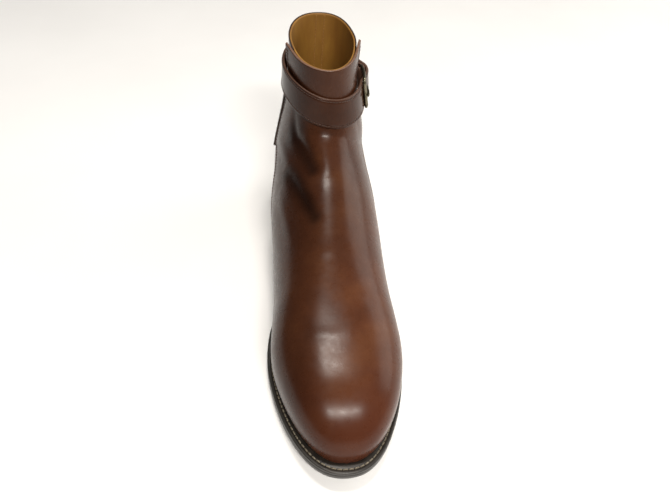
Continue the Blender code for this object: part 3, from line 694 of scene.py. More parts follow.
def polished_calf(name, base, deep, light, gloss, painted_toe_and_crease_shade=True):
    """Smooth aniline calf, waxed and brushed: a warm brown that is never quite even, with painted shade on
    the inner side and up the shaft and, where asked for, painted shade at the toe and in the two deepest
    creases."""
    made, tree, shader, place = finish_named(name, IOR=1.5, Specular_IOR_Level=0.17, Coat_Weight=0.04,
                                              Coat_Roughness=0.18, Coat_IOR=1.45)
    cloud = add(tree, "TexNoise", {"Vector": place, "Scale": 28.0, "Detail": 4.0, "Roughness": 0.55})
    colour = add(tree, "ValToRGB", {"Fac": cloud.outputs["Fac"]},
                 stops=((0.30, deep), (0.70, light), (0.50, base)))
    fleck = add(tree, "TexNoise", {"Vector": place, "Scale": 420.0, "Detail": 3.0, "Roughness": 0.6})
    flecked = add(tree, "MapRange", {"Value": fleck.outputs["Fac"], "From Min": 0.35, "From Max": 0.7,
                                     "To Min": 0.96, "To Max": 1.03})
    mottled = add(tree, "VectorMath", {0: colour.outputs["Color"], 1: flecked.outputs["Result"]},
                  operation="MULTIPLY")
    out = mottled.outputs["Vector"]
    axes = add(tree, "SeparateXYZ", {"Vector": place})
    # Painted shade on the inner side and up the shaft
    shades = [eased(tree, axes.outputs["X"], *INNER_SHADE), eased(tree, axes.outputs["Z"], *SHAFT_SHADE)]
    # Painted shade at the toe, and painted shade along two deep creases
    if painted_toe_and_crease_shade:
        toe = eased(tree, axes.outputs["Y"], *TOE_PAINTED_SHADE)
        toe_shaded = add(tree, "Mix", {"Factor": toe, 6: out, 7: paint(TOE_SHADE_COLOUR)}, data_type="RGBA")
        out = toe_shaded.outputs[2]
        shades += [painted_crease_shade(tree, place, start, end) for start, end in PAINTED_SHADE_CREASES]
    for shade in shades:
        out = add(tree, "VectorMath", {0: out, 1: shade}, operation="MULTIPLY").outputs["Vector"]
    tree.links.new(out, shader.inputs["Base Color"])
    pores = add(tree, "TexVoronoi", {"Vector": place, "Scale": 1 / (0.9 * MM), "Randomness": 1.0},
                feature="SMOOTH_F1")
    wrinkle = add(tree, "TexNoise", {"Vector": place, "Scale": 180.0, "Detail": 3.0, "Roughness": 0.5})
    slow = add(tree, "TexNoise", {"Vector": place, "Scale": 38.0, "Detail": 3.0, "Roughness": 0.5})
    fine = add(tree, "Bump", {"Height": pores.outputs["Distance"], "Strength": 0.04, "Distance": 0.15 * MM})
    middle = add(tree, "Bump", {"Height": wrinkle.outputs["Fac"], "Strength": 0.06, "Distance": 0.25 * MM,
                                "Normal": fine.outputs["Normal"]})
    wide = add(tree, "Bump", {"Height": slow.outputs["Fac"], "Strength": 0.14, "Distance": 1.0 * MM,
                              "Normal": middle.outputs["Normal"]})
    tree.links.new(wide.outputs["Normal"], shader.inputs["Normal"])
    tree.links.new(wide.outputs["Normal"], shader.inputs["Coat Normal"])
    rough = add(tree, "MapRange", {"Value": wrinkle.outputs["Fac"], "From Min": 0.3, "From Max": 0.7,
                                   "To Min": gloss, "To Max": gloss + 0.08})
    tree.links.new(rough.outputs["Result"], shader.inputs["Roughness"])
    return made


def cut_edge(name, pale, dark):
    """The raw cut side of the leather, lightly waxed: its fibre shows as a mottled, satin line."""
    made, tree, shader, place = finish_named(name, IOR=1.5, Roughness=0.55)
    fibre = add(tree, "TexNoise", {"Vector": place, "Scale": 900.0, "Detail": 3.0, "Roughness": 0.7})
    colour = add(tree, "ValToRGB", {"Fac": fibre.outputs["Fac"]}, stops=((0.30, dark), (0.70, pale)))
    tree.links.new(colour.outputs["Color"], shader.inputs["Base Color"])
    bump = add(tree, "Bump", {"Height": fibre.outputs["Fac"], "Strength": 0.4, "Distance": 0.15 * MM})
    tree.links.new(bump.outputs["Normal"], shader.inputs["Normal"])
    return made


def lining_leather():
    """Vegetable-tanned lining leather, undyed, unpolished: ochre, faintly streaked where the foot slides."""
    made, tree, shader, place = finish_named("tan_lining_leather", IOR=1.5)
    streaked = add(tree, "Mapping", {"Vector": place, "Scale": (1.0, 1.0, 0.25)})
    cloud = add(tree, "TexNoise", {"Vector": streaked.outputs["Vector"], "Scale": 70.0, "Detail": 5.0,
                                   "Roughness": 0.6})
    colour = add(tree, "ValToRGB", {"Fac": cloud.outputs["Fac"]},
                 stops=((0.28, "#7c5421"), (0.74, "#99702b"), (0.50, "#8a6125")))
    tree.links.new(colour.outputs["Color"], shader.inputs["Base Color"])
    grain = add(tree, "TexVoronoi", {"Vector": place, "Scale": 1 / (0.7 * MM)}, feature="SMOOTH_F1")
    bump = add(tree, "Bump", {"Height": grain.outputs["Distance"], "Strength": 0.18, "Distance": 0.15 * MM})
    tree.links.new(bump.outputs["Normal"], shader.inputs["Normal"])
    rough = add(tree, "MapRange", {"Value": cloud.outputs["Fac"], "To Min": 0.50, "To Max": 0.68})
    tree.links.new(rough.outputs["Result"], shader.inputs["Roughness"])
    return made


def sole_edge_leather(name, dark, light, roughness):
    """Bend leather trimmed, inked nearly black and waxed hot: a satin skin over faint horizontal layers."""
    made, tree, shader, place = finish_named(name, IOR=1.5, Coat_Weight=0.15, Coat_Roughness=0.35)
    layered = add(tree, "Mapping", {"Vector": place, "Scale": (1.0, 1.0, 9.0)})
    layers = add(tree, "TexNoise", {"Vector": layered.outputs["Vector"], "Scale": 130.0, "Detail": 5.0,
                                    "Roughness": 0.65})
    colour = add(tree, "ValToRGB", {"Fac": layers.outputs["Fac"]}, stops=((0.35, dark), (0.75, light)))
    tree.links.new(colour.outputs["Color"], shader.inputs["Base Color"])
    bump = add(tree, "Bump", {"Height": layers.outputs["Fac"], "Strength": 0.35, "Distance": 0.3 * MM})
    tree.links.new(bump.outputs["Normal"], shader.inputs["Normal"])
    rough = add(tree, "MapRange", {"Value": layers.outputs["Fac"], "To Min": roughness - 0.06,
                                   "To Max": roughness + 0.10})
    tree.links.new(rough.outputs["Result"], shader.inputs["Roughness"])
    return made


def heel_rubber():
    """Moulded rubber top piece: matt black with a fine pebble from the mould."""
    made, tree, shader, place = finish_named("heel_rubber", IOR=1.52)
    pebble = add(tree, "TexVoronoi", {"Vector": place, "Scale": 1 / (1.1 * MM)}, feature="SMOOTH_F1")
    dust = add(tree, "TexNoise", {"Vector": place, "Scale": 160.0, "Detail": 4.0})
    colour = add(tree, "ValToRGB", {"Fac": dust.outputs["Fac"]}, stops=((0.40, "#141413"), (0.75, "#24231f")))
    tree.links.new(colour.outputs["Color"], shader.inputs["Base Color"])
    bump = add(tree, "Bump", {"Height": pebble.outputs["Distance"], "Strength": 0.4, "Distance": 0.2 * MM})
    tree.links.new(bump.outputs["Normal"], shader.inputs["Normal"])
    rough = add(tree, "MapRange", {"Value": dust.outputs["Fac"], "To Min": 0.6, "To Max": 0.8})
    tree.links.new(rough.outputs["Result"], shader.inputs["Roughness"])
    return made


def antique_metal():
    """Cast brass plated with dark nickel and rubbed back: olive grey, with brighter worn high spots."""
    made, tree, shader, place = finish_named("antique_metal", Metallic=1.0)
    wear = add(tree, "TexNoise", {"Vector": place, "Scale": 240.0, "Detail": 5.0, "Roughness": 0.65})
    colour = add(tree, "ValToRGB", {"Fac": wear.outputs["Fac"]},
                 stops=((0.32, "#4a463a"), (0.78, "#b3ad9d"), (0.55, "#77715f")))
    tree.links.new(colour.outputs["Color"], shader.inputs["Base Color"])
    rough = add(tree, "MapRange", {"Value": wear.outputs["Fac"], "From Min": 0.3, "From Max": 0.75,
                                   "To Min": 0.38, "To Max": 0.22})
    tree.links.new(rough.outputs["Result"], shader.inputs["Roughness"])
    bump = add(tree, "Bump", {"Height": wear.outputs["Fac"], "Strength": 0.2, "Distance": 0.1 * MM})
    tree.links.new(bump.outputs["Normal"], shader.inputs["Normal"])
    return made


def waxed_thread(name, dark, light):
    """Waxed linen thread: a tight twist, drawn a little coarser than life so that it still shows."""
    made, tree, shader, place = finish_named(name, IOR=1.5, Roughness=0.55)
    twist = add(tree, "TexNoise", {"Vector": place, "Scale": 1600.0, "Detail": 2.0})
    colour = add(tree, "ValToRGB", {"Fac": twist.outputs["Fac"]}, stops=((0.35, dark), (0.65, light)))
    tree.links.new(colour.outputs["Color"], shader.inputs["Base Color"])
    bump = add(tree, "Bump", {"Height": twist.outputs["Fac"], "Strength": 0.5, "Distance": 0.1 * MM})
    tree.links.new(bump.outputs["Normal"], shader.inputs["Normal"])
    return made


def paper_floor():
    """Seamless white paper: matt and almost even."""
    made, tree, shader, place = finish_named("white_paper", IOR=1.45, Roughness=0.85)
    tone = add(tree, "TexNoise", {"Vector": place, "Scale": 6.0, "Detail": 3.0})
    colour = add(tree, "ValToRGB", {"Fac": tone.outputs["Fac"]}, stops=((0.3, "#f3f3f3"), (0.7, "#f8f8f8")))
    tree.links.new(colour.outputs["Color"], shader.inputs["Base Color"])
    return made


# The upper


def rounding(radius):
    """The quarter turn over a cut edge, as (share of the way in from the edge, drop)."""
    turn = np.radians([0, 22, 45, 68, 90])
    return radius * (1 - np.sin(turn)), radius * (1 - np.cos(turn))


def build_panel(form):
    """Vamp and front panel in one, with a rounded cut edge, free at the two horns."""
    us = form.us
    flat = np.linspace(-1, 1, PANEL_STEPS + 1)
    inset, drop = rounding(CUT_ROUNDING)
    places_across = []
    for side in (-1, 1):
        covered = seam(us, side)
        length = form.length(us, side) * covered
        room = np.minimum(CUT_ROUNDING, 0.25 * length) / CUT_ROUNDING
        places_across.append((covered, length, room))

    def columns(side):
        """Edge columns of one side: column places and drops, row by row."""
        covered, length, room = places_across[0 if side < 0 else 1]
        away = inset[None, :] * room[:, None] / length[:, None]
        return side * covered[:, None] * (1 - away), drop[None, :] * room[:, None]

    left_v, left_drop = columns(-1)
    right_v, right_drop = columns(1)
    middle = np.where(flat < 0, -left_v[:, :1] * flat, right_v[:, :1] * flat)
    v = np.concatenate([left_v[:, :0:-1], middle, right_v[:, 1:]], axis=1)
    sunk = np.concatenate([left_drop[:, :0:-1], 0 * middle, right_drop[:, 1:]], axis=1)
    rise = panel_rise(us[:, None], v)
    depth = np.minimum(rise + 0.3 * MM, PANEL_SHEET)[:, [0, -1]]
    v = np.concatenate([v[:, :1], v, v[:, -1:]], axis=1)
    offset = np.concatenate([rise[:, :1] - depth[:, :1], rise - sunk, rise[:, -1:] - depth[:, 1:]], axis=1)
    front = form.place(us[:, None], v, offset)

    collar_v = v[-1]
    collar_rise = panel_rise(COLLAR, collar_v)
    tangent = normalised(form.place(COLLAR, collar_v) - form.place(COLLAR - 0.1, collar_v))
    top = []
    half = PANEL_SHEET / 2
    for turn in np.radians([30, 60, 90, 120, 150, 180]):
        share = smooth_step(turn / math.pi)
        over = offset[-1] * (1 - share) + (collar_rise - PANEL_SHEET) * share
        over = np.where(offset[-1] < collar_rise - half, np.minimum(over, offset[-1]), over)
        lift = 0.7 * half * math.sin(turn)
        top.append(form.place(COLLAR, collar_v, over) + tangent * lift)
    back = []
    for u in np.linspace(COLLAR, COLLAR - 2, 24):
        row_v = np.stack([np.interp(u, us, v[:, k]) for k in range(v.shape[1])])
        back.append(form.place(u, row_v, panel_rise(u, row_v) - PANEL_SHEET))
    rows = np.concatenate([front, np.array(top), np.array(back)])
    choice = np.zeros((rows.shape[0] - 1, rows.shape[1] - 1), int)
    first = len(us) - 1
    choice[first + 1:first + 5] = 1
    choice[first + 5:] = 2
    start = int(np.argmax(us >= SEAM_START + 0.2))
    choice[start:first, :2] = 3
    choice[start:first, -2:] = 3
    return piece("vamp_and_panel", rows.reshape(-1, 3), quads(*rows.shape[:2]),
                 [CALF, CUT_EDGE, LINING, DARK_EDGE], ("upper",), choice.ravel())


def build_quarters(form):
    """The two quarters, from under the panel's edges round to the back, with a rounded collar."""
    us = form.us[form.us >= SEAM_START]
    places, faces, choice = [], [], []
    for side in (-1, 1):
        covered = seam(us, side)
        lap = UNDERLAP / form.length(us, side)
        g = np.linspace(0, 1, QUARTER_STEPS + 1)
        v = side * (covered[:, None] - lap[:, None] * (1 - g) + (1 - covered[:, None]) * g)
        outer = form.place(us[:, None], v)
        tangent = normalised(form.place(COLLAR, v[-1]) - form.place(COLLAR - 0.1, v[-1]))
        top = []
        for turn in np.radians([30, 60, 90, 120, 150, 180]):
            off = -QUARTER_SHEET * (1 - math.cos(turn)) / 2
            top.append(form.place(COLLAR, v[-1], off) + tangent * 0.5 * MM * math.sin(turn))
        inside = []
        for u in np.linspace(COLLAR, COLLAR - 1, 8):
            row_v = np.array([np.interp(u, us, v[:, k]) for k in range(v.shape[1])])
            inside.append(form.place(u, row_v, -QUARTER_SHEET))
        rows = np.concatenate([outer, np.array(top), np.array(inside)])
        faces.append(quads(*rows.shape[:2], start=sum(len(p) for p in places)))
        places.append(rows.reshape(-1, 3))
        part = np.zeros((rows.shape[0] - 1, rows.shape[1] - 1), int)
        part[len(us):len(us) + 4] = 1
        choice.append(part.ravel())
    return piece("quarters", np.concatenate(places), np.concatenate(faces), [CALF, DARK_EDGE],
                 (), np.concatenate(choice))


def build_lining(form):
    """The lining, a closed tube from the collar down, open along the feather edge."""
    us = form.us[form.us >= 3.0]
    v = np.linspace(-1, 1, 161)
    outer_off, inner_off = -(WALL - LINING_SHEET), -WALL
    low = 0.4 * MM
    inner = form.place(us[:, None], v, inner_off)
    tangent = normalised(form.place(COLLAR, v) - form.place(COLLAR - 0.1, v))
    inner[-1] -= tangent[:] * low
    top = []
    for turn in np.radians([30, 60, 90, 120, 150, 180]):
        off = inner_off + (outer_off - inner_off) * (1 - math.cos(turn)) / 2
        top.append(form.place(COLLAR, v, off) + tangent * (0.5 * MM * math.sin(turn) - low))
    outside = [form.place(u, v, outer_off) for u in np.linspace(COLLAR - 0.05, COLLAR - 1, 6)]
    rows = np.concatenate([inner, np.array(top), np.array(outside)])
    return piece("lining", rows.reshape(-1, 3), quads(*rows.shape[:2]), [LINING])


def build_back_seam(form):
    """The lining's back strip: a narrow tape over the back seam with a row of thread down each side."""
    us = np.linspace(SEAT + 0.4, COLLAR - 0.02, 90)
    half = 5.0 * MM
    across = np.linspace(-1, 1, 9)
    tape = []
    for lift, shares in ((0.35 * MM, across), (-0.1 * MM, across[::-1])):
        v = shares[None, :] * half / form.length(us, 1)[:, None]
        v = np.where(v >= 0, v - 1, v + 1)
        off = -WALL - lift * (1 - 0.9 * np.abs(shares[None, :]) ** 6)
        tape.append(form.place(us[:, None], v, off))
    loops = np.concatenate(tape, axis=1)
    places, faces = swept(loops, closed=False)
    piece("lining_back_strip", places, faces, [LINING])
    rows = []
    for side in (-1, 1):
        v = side * (3.6 * MM / form.length(us, 1))
        v = np.where(v >= 0, v - 1, v + 1)
        rows.append((form.place(us, v, -WALL - 0.35 * MM), -form.normal(us, v)))
    stitches("lining_thread", rows, 2.6 * MM, 0.28 * MM, TAN_THREAD)


def build_panel_thread(form):
    """Two close rows of thread along the panel's edges, on the panel."""
    rows = []
    for side in (-1, 1):
        us = np.linspace(SEAM_START + 0.35, COLLAR - 0.1, 300)
        for inset in (2.2 * MM, 3.9 * MM):
            v = side * (seam(us, side) - inset / form.length(us, side))
            rows.append((form.place(us, v, panel_rise(us, v) + 0.02 * MM), form.normal(us, v)))
    stitches("panel_thread", rows, PANEL_STITCH, 0.26 * MM, BROWN_THREAD)


# The sole


def ring_of(reach, height, stations=SOLE_STATIONS):
    along, outer, inner = outline(reach, stations)
    z = height(along)
    there = np.stack([outer, along, z], axis=1)
    back = np.stack([-inner, along, z], axis=1)[-2:0:-1]
    return np.concatenate([there, back])


def plate_of(levels, across=9):
    """Points and faces of a plate from heel to toe through levels of (reach, height), bottom to top."""
    share = np.linspace(-1, 1, across)
    grids = []
    for reach, height in levels:
        along, outer, inner = outline(reach)
        x = np.where(share < 0, share * inner[:, None], share * outer[:, None])
        z = np.broadcast_to(height(along)[:, None], x.shape)
        grids.append(np.stack([x, np.broadcast_to(along[:, None], x.shape), z], axis=2))
    return stacked(grids)


def stacked(grids):
    """Points and faces of a closed body from grids stacked from bottom to top."""
    rows, columns = grids[0].shape[:2]
    count = rows * columns
    faces = quads(rows, columns).tolist() + quads(rows, columns, (len(grids) - 1) * count).tolist()
    top = list(range(columns))
    right = [i * columns + columns - 1 for i in range(1, rows)]
    bottom = [(rows - 1) * columns + j for j in range(columns - 2, -1, -1)]
    left = [i * columns for i in range(rows - 2, 0, -1)]
    edge = top + right + bottom + left
    for k in range(len(grids) - 1):
        for a, b in zip(edge, edge[1:] + edge[:1]):
            faces.append((k * count + a, k * count + b, (k + 1) * count + b, (k + 1) * count + a))
    return np.concatenate([grid.reshape(-1, 3) for grid in grids]), faces


def level(height, lift, inset):
    """A level of the sole: so far above a height, drawn in so far from the sole's edge."""
    return (lambda along: welt_reach(along) - inset), (lambda along: height(along) + lift)


def build_outsole():
    thick = OUTSOLE_THICKNESS
    steps = ((0, 1.3), (0.12, 0.75), (0.45, 0.30), (0.95, 0.06), (1.5, 0.0), (3.3, 0.0), (4.0, 0.12),
             (4.6, 0.34), (5.0, 0.50))
    levels = [level(underside, lift * MM * thick / (5.2 * MM), inset * MM) for lift, inset in steps]
    levels.append(level(underside, thick, 0.9 * MM))
    places, faces = plate_of(levels)
    piece("outsole_leather", places, faces, [SOLE_EDGE], ("outsole",))


def build_welt():
    """The welt, with a rounded edge, a shallow channel for the thread and a low bead against the upper."""
    thick = WELT_THICKNESS
    top = ((0.0, 0.9), (0.25, 0.45), (0.7, 0.12), (1.2, 0.0), (1.9, 0.0), (2.4, 0.10), (2.75, 0.38),
           (2.95, 0.8), (3.0, 1.4), (3.0, 2.3), (2.72, 2.9), (2.62, 3.3), (2.72, 3.7), (3.0, 4.3),
           (3.0, 6.0), (3.0, 8.6))
    loops = []
    for lift, inset in top:
        loops.append(ring_of(*level(welt_bottom, lift * MM * thick / (3 * MM), inset * MM)))
    inside = lambda along: 0 * along - WELT_INSIDE
    loops.append(ring_of(inside, welt_top))
    loops.append(ring_of(inside, welt_bottom))
    places, faces = swept(np.array(loops), closed=True)
    piece("welt_leather", places, faces, [WELT], ("welt",))
    path = ring_of(*level(welt_top, -0.12 * MM, 3.3 * MM))
    path = np.concatenate([path, path[:1]])
    normals = np.tile([0.0, 0.0, 1.0], (len(path), 1))
    stitches("welt_thread", [(path, normals)], WELT_STITCH, 0.52 * MM, SOLE_THREAD)


def build_insole():
    def inside(along):
        return 0 * along - WALL - 3 * SEAM_GAP

    def rounder(along):
        return inside(along) - 0.6 * MM

    def almost(along):
        return feather_height(along) + INSOLE_THICKNESS - 0.5 * MM

    def top(along):
        return feather_height(along) + INSOLE_THICKNESS

    places, faces = plate_of([(inside, feather_height), (inside, almost), (rounder, top)])
    piece("sock_lining", places, faces, [LINING], ("insole",))


def heel_grid(height_share, floor, inset=0.0):
    """A level of the heel, at a share of the way from the floor (0) to the outsole (1)."""
    stations, columns = 60, 25

    def reach(along):
        return welt_reach(along) - HEEL_TAPER * (1 - height_share) - inset

    along, outer, inner = outline(reach, stations, HEEL_LENGTH)
    share = np.linspace(0, 1, stations + 1)[:, None]
    across = np.linspace(-1, 1, columns)[None, :]
    x = np.where(across < 0, across * inner[:, None], across * outer[:, None])
    s = along[:, None] - BREAST_CURVE * (1 - across**2) * share**3
    return np.stack([x, s, floor(s)], axis=2)


def build_heel():
    def stack_height(share, lift):
        return lambda along: (
            TOP_PIECE_THICKNESS + share * (underside(along) - SEAM_GAP / 2 - TOP_PIECE_THICKNESS) + lift
        )

    edge = 0.35 * MM
    thick = TOP_PIECE_THICKNESS - SEAM_GAP
    low = [heel_grid(0, lambda s: 0 * s, 0.9 * MM), heel_grid(0.02, lambda s: 0 * s + 0.3 * MM, 0.25 * MM),
           heel_grid(0.05, lambda s: 0 * s + 0.9 * MM), heel_grid(0.24, lambda s: 0 * s + thick - edge),
           heel_grid(0.26, lambda s: 0 * s + thick + SEAM_GAP / 2, edge)]
    places, faces = stacked(low)
    piece("heel_rubber_piece", places, faces, [RUBBER], ("heel_top_piece",))
    for lift in range(HEEL_LIFTS):
        bottom, top = lift / HEEL_LIFTS, (lift + 1) / HEEL_LIFTS
        low_share, high_share = 0.26 + 0.74 * bottom, 0.26 + 0.74 * top
        levels = [heel_grid(low_share, stack_height(bottom, SEAM_GAP / 2), 0.22 * MM),
                  heel_grid(low_share, stack_height(bottom, SEAM_GAP / 2 + 0.25 * MM)),
                  heel_grid(high_share, stack_height(top, -SEAM_GAP / 2 - 0.25 * MM)),
                  heel_grid(high_share, stack_height(top, -SEAM_GAP / 2), 0.22 * MM)]
        places, faces = stacked(levels)
        name = "heel_lift_%d" % (lift + 1)
        piece(name + "_leather", places, faces, [SOLE_EDGE], (name,))


# The ankle strap


def strap_middle(x, along):
    return STRAP_HEIGHT + STRAP_RISE_ACROSS * x + STRAP_RISE_ALONG * (along - STRAP_CENTRE)


def shaft_ring(form, offset):
    """Radii of the shaft round the strap's centre at the strap's middle height plus an offset."""
    us = np.linspace(SEAT + 0.6, COLLAR, 90)
    vs = np.linspace(-1, 1, 97)[:-1]
    trace = form.place(us[:, None], vs)
    over = trace[..., 2] - strap_middle(trace[..., 0], trace[..., 1]) - offset
    where = np.array([np.interp(0, over[:, k], us) for k in range(len(vs))])
    spots = form.place(where, vs)
    turns = np.arctan2(spots[:, 0], spots[:, 1] - STRAP_CENTRE) % (2 * math.pi)
    radii = np.hypot(spots[:, 0], spots[:, 1] - STRAP_CENTRE)
    order = np.argsort(turns)
    grid = np.linspace(0, 2 * math.pi, 120, endpoint=False)
    ring = np.interp(grid, turns[order], radii[order], period=2 * math.pi)
    for _ in range(3):
        ring = (np.roll(ring, 1) + ring + np.roll(ring, -1)) / 3
    return grid, ring


class Strap:
    """Places round the ankle: arc from the buckle's hinge bar, lift off the ring, height across the strap."""

    def __init__(self, form):
        grid, top = shaft_ring(form, STRAP_WIDTH / 2)
        middle = shaft_ring(form, 0)[1]
        bottom = shaft_ring(form, -STRAP_WIDTH / 2)[1]
        short = np.maximum(middle - (top + bottom) / 2, 0)
        slack = np.where(np.sin(grid) > 0, OUTER_SLACK, INNER_SLACK) * np.sin(grid) ** 2
        room = PANEL_RISE + STRAP_CLEARANCE + slack + short
        self.turn_grid = np.linspace(0, 2 * math.pi, 721)
        wide = np.concatenate([grid - 2 * math.pi, grid, grid + 2 * math.pi])
        self.top = spline(wide, np.tile(top + room, 3), self.turn_grid)
        self.bottom = spline(wide, np.tile(bottom + room, 3), self.turn_grid)
        hinge = math.radians(BUCKLE_ANGLE)
        self.turns = hinge + np.linspace(-0.5 * math.pi, 3.5 * math.pi, 4000)
        radius = self.radius(self.turns, 0)
        path = np.stack([radius * np.sin(self.turns), radius * np.cos(self.turns)], axis=1)
        arc = np.concatenate([[0], np.cumsum(np.linalg.norm(np.diff(path, axis=0), axis=1))])
        self.arc = arc - np.interp(hinge, self.turns, arc)
        self.round = np.interp(hinge + 2 * math.pi, self.turns, self.arc)

    def radius(self, turn, across):
        turn = np.mod(turn, 2 * math.pi)
        top = np.interp(turn, self.turn_grid, self.top)
        bottom = np.interp(turn, self.turn_grid, self.bottom)
        return (top + bottom) / 2 + across * (top - bottom) / STRAP_WIDTH

    def place(self, arc, lift, across):
        turn = np.interp(arc, self.arc, self.turns)
        away = self.radius(turn, across) + lift
        flat = self.radius(turn, 0)
        z = strap_middle(flat * np.sin(turn), STRAP_CENTRE + flat * np.cos(turn)) + across
        x, along = away * np.sin(turn), STRAP_CENTRE + away * np.cos(turn)
        return np.stack(np.broadcast_arrays(x, along, z), axis=-1)


def strap_path(strap):
    """The strap's centre line as (arc, lift): turned in round the hinge bar, once round, then over itself."""
    layer = STRAP_THICKNESS + SEAM_GAP
    low = STRAP_THICKNESS / 2
    fold = BUCKLE_BAR + SEAM_GAP + STRAP_THICKNESS / 2
    turn_in = 3.5 * STRAP_THICKNESS
    path = []
    for t in np.linspace(1, 0, 12):
        path.append((turn_in * t, low + layer + (2 * fold - layer) * smooth_step(1 - t)))
    for angle in np.linspace(0, math.pi, 21)[1:-1]:
        path.append((-fold * math.sin(angle), low + fold + fold * math.cos(angle)))
    bar = strap.round - BUCKLE_LENGTH
    for t in np.linspace(0, 1, STRAP_STATIONS):
        path.append((bar * t, low))
    for t in np.linspace(0, 1, 26)[1:]:
        path.append((bar + BUCKLE_LENGTH * t, low + (2 * fold + layer) * smooth_step(t)))
    lying = turn_in + 1.2 * STRAP_THICKNESS
    for t in np.linspace(0, 1, 12)[1:]:
        path.append((strap.round + lying * t, low + 2 * fold + layer + (layer - 2 * fold) * smooth_step(t)))
    down = 2.5 * STRAP_THICKNESS
    for t in np.linspace(0, 1, 9)[1:]:
        path.append((strap.round + lying + down * t, low + 2 * layer - layer * smooth_step(t)))
    start = strap.round + lying + down
    end = strap.round + STRAP_OVERLAP
    for t in np.linspace(0, 1, 30)[1:]:
        path.append((start + (end - start) * math.sin(t * math.pi / 2), low + layer))
    return np.array(path)


def strap_profile(width):
    """The strap's section as (off its middle, across): rounded edges and a creased line inside each edge."""
    half = STRAP_THICKNESS / 2
    turns = np.radians([20, 45, 70, 90])
    side = [(half * math.cos(a), width - half * 0.75 * (1 - math.sin(a))) for a in turns]
    below = [(-half, width - 0.75 * half), (-half * 0.8, width - 0.25 * half)][::-1]
    face = [(half - 0.02 * MM, 0.0), (half - 0.02 * MM, width * 0.45), (half, width - 3.2 * MM),
            (half, width - 2.1 * MM), (half - 0.28 * MM, width - 1.75 * MM), (half, width - 1.4 * MM)]
    upper = face + side + below
    lower = [(off, -across) for off, across in reversed(upper[1:])]
    return upper + lower


def build_strap(strap):
    path = strap_path(strap)
    step = np.gradient(path, axis=0)
    across = normalised(np.stack([-step[:, 1], step[:, 0]], axis=1))
    end = path[-1][0]
    loops = []
    for (arc, lift), normal in zip(path, across):
        width = STRAP_WIDTH / 2 * max(float(cap(end - arc, STRAP_TIP_LENGTH, 1.7)), 0.12)
        profile = np.array(strap_profile(max(width, 3.6 * MM)))
        profile[:, 1] *= min(width / (3.6 * MM), 1)
        offs, es = profile[:, 0], profile[:, 1]
        loops.append(strap.place(arc + offs * normal[0], lift + offs * normal[1], es))
    places, faces = swept(loops, closed=False)
    size = len(loops[0])
    around = np.tile(np.arange(size), len(loops) - 1)
    edge_faces = (around >= 7) & (around <= 11) | (around >= size - 12) & (around <= size - 8)
    choice = np.concatenate([np.where(edge_faces, 1, 0), [0, 0]])
    piece("ankle_strap_leather", places, faces, [STRAP_CALF, STRAP_EDGE], ("ankle_strap",),
          choice)

    first = int(np.argmax(path[:, 0] > 12 * MM))
    inner = path[first + 30:]
    rows = []
    outer_off = STRAP_THICKNESS / 2 + 0.0 * MM
    for side in (-1, 1):
        kept = inner[inner[:, 0] < end - STRAP_TIP_LENGTH]
        line = strap.place(kept[:, 0], kept[:, 1] + outer_off, side * (STRAP_WIDTH / 2 - 1.75 * MM))
        away = strap.place(kept[:, 0], kept[:, 1] + outer_off + 1 * MM, side * (STRAP_WIDTH / 2 - 1.75 * MM))
        rows.append((line, normalised(away - line)))
    stitches("strap_thread", rows, STRAP_STITCH, 0.24 * MM, BROWN_THREAD)


def bar_of(path, radius, closed=False, sides=14, ends=0.55):
    """A round bar along a path, its open ends rounded off."""
    path = np.asarray(path)
    if closed:
        heading = normalised(np.roll(path, -1, axis=0) - np.roll(path, 1, axis=0))
    else:
        heading = normalised(np.gradient(path, axis=0))
    side = normalised(np.cross(heading, (0.03, 0.02, 1.0)))
    up = np.cross(side, heading)
    loops = []
    turn = np.linspace(0, 2 * math.pi, sides + 1)[:-1]
    for k, point in enumerate(path):
        size = radius
        if not closed and k in (0, len(path) - 1):
            size = radius * ends
        loops.append([point + size * (math.cos(a) * side[k] + math.sin(a) * up[k]) for a in turn])
    return swept(loops, closed)


def build_buckle(strap):
    lift = STRAP_THICKNESS + SEAM_GAP + BUCKLE_BAR
    reach = STRAP_WIDTH / 2 + SEAM_GAP + BUCKLE_BAR
    corner = 2.2 * BUCKLE_BAR
    frame = []
    corners = ((0, 1, 0), (-BUCKLE_LENGTH, 1, 90), (-BUCKLE_LENGTH, -1, 180), (0, -1, 270))
    for arc, side, heading in corners:
        inward = corner if arc < 0 else -corner
        for turn in np.linspace(0, 90, 9):
            angle = math.radians(heading + turn)
            beside = side * (reach - corner) + corner * math.sin(angle)
            frame.append((arc + inward + corner * math.cos(angle), beside))
    frame.append(frame[0])
    frame = np.array(frame)
    gone = np.concatenate([[0], np.cumsum(np.linalg.norm(np.diff(frame, axis=0), axis=1))])
    at = np.linspace(0, gone[-1], 121)[:-1]
    path = strap.place(np.interp(at, gone, frame[:, 0]), lift, np.interp(at, gone, frame[:, 1]))
    places, faces = bar_of(path, BUCKLE_BAR, closed=True)
    piece("buckle_frame_metal", places, faces, [METAL], ("buckle_frame",))

    across = np.linspace(-1, 1, 30) * (STRAP_WIDTH / 2 - 0.6 * MM)
    places, faces = bar_of(strap.place(-BUCKLE_LENGTH, lift, across), ROLLER_RADIUS, sides=24, ends=0.86)
    piece("buckle_roller_metal", places, faces, [METAL])

    hook = BUCKLE_BAR + SEAM_GAP + PRONG_RADIUS
    prong = [(hook * math.sin(a), lift - hook * math.cos(a)) for a in np.radians(np.linspace(30, -110, 16))]
    tip_lift = lift + ROLLER_RADIUS + PRONG_RADIUS
    for t in np.linspace(0.1, 1, 16):
        prong.append((-hook - (BUCKLE_LENGTH + 1.5 * MM - hook) * t, lift + (tip_lift - lift) * math.sqrt(t)))
    prong = np.array(prong)
    places, faces = bar_of(strap.place(prong[:, 0], prong[:, 1], 0.0), PRONG_RADIUS, sides=12)
    piece("buckle_prong_metal", places, faces, [METAL], ("buckle_prong",))


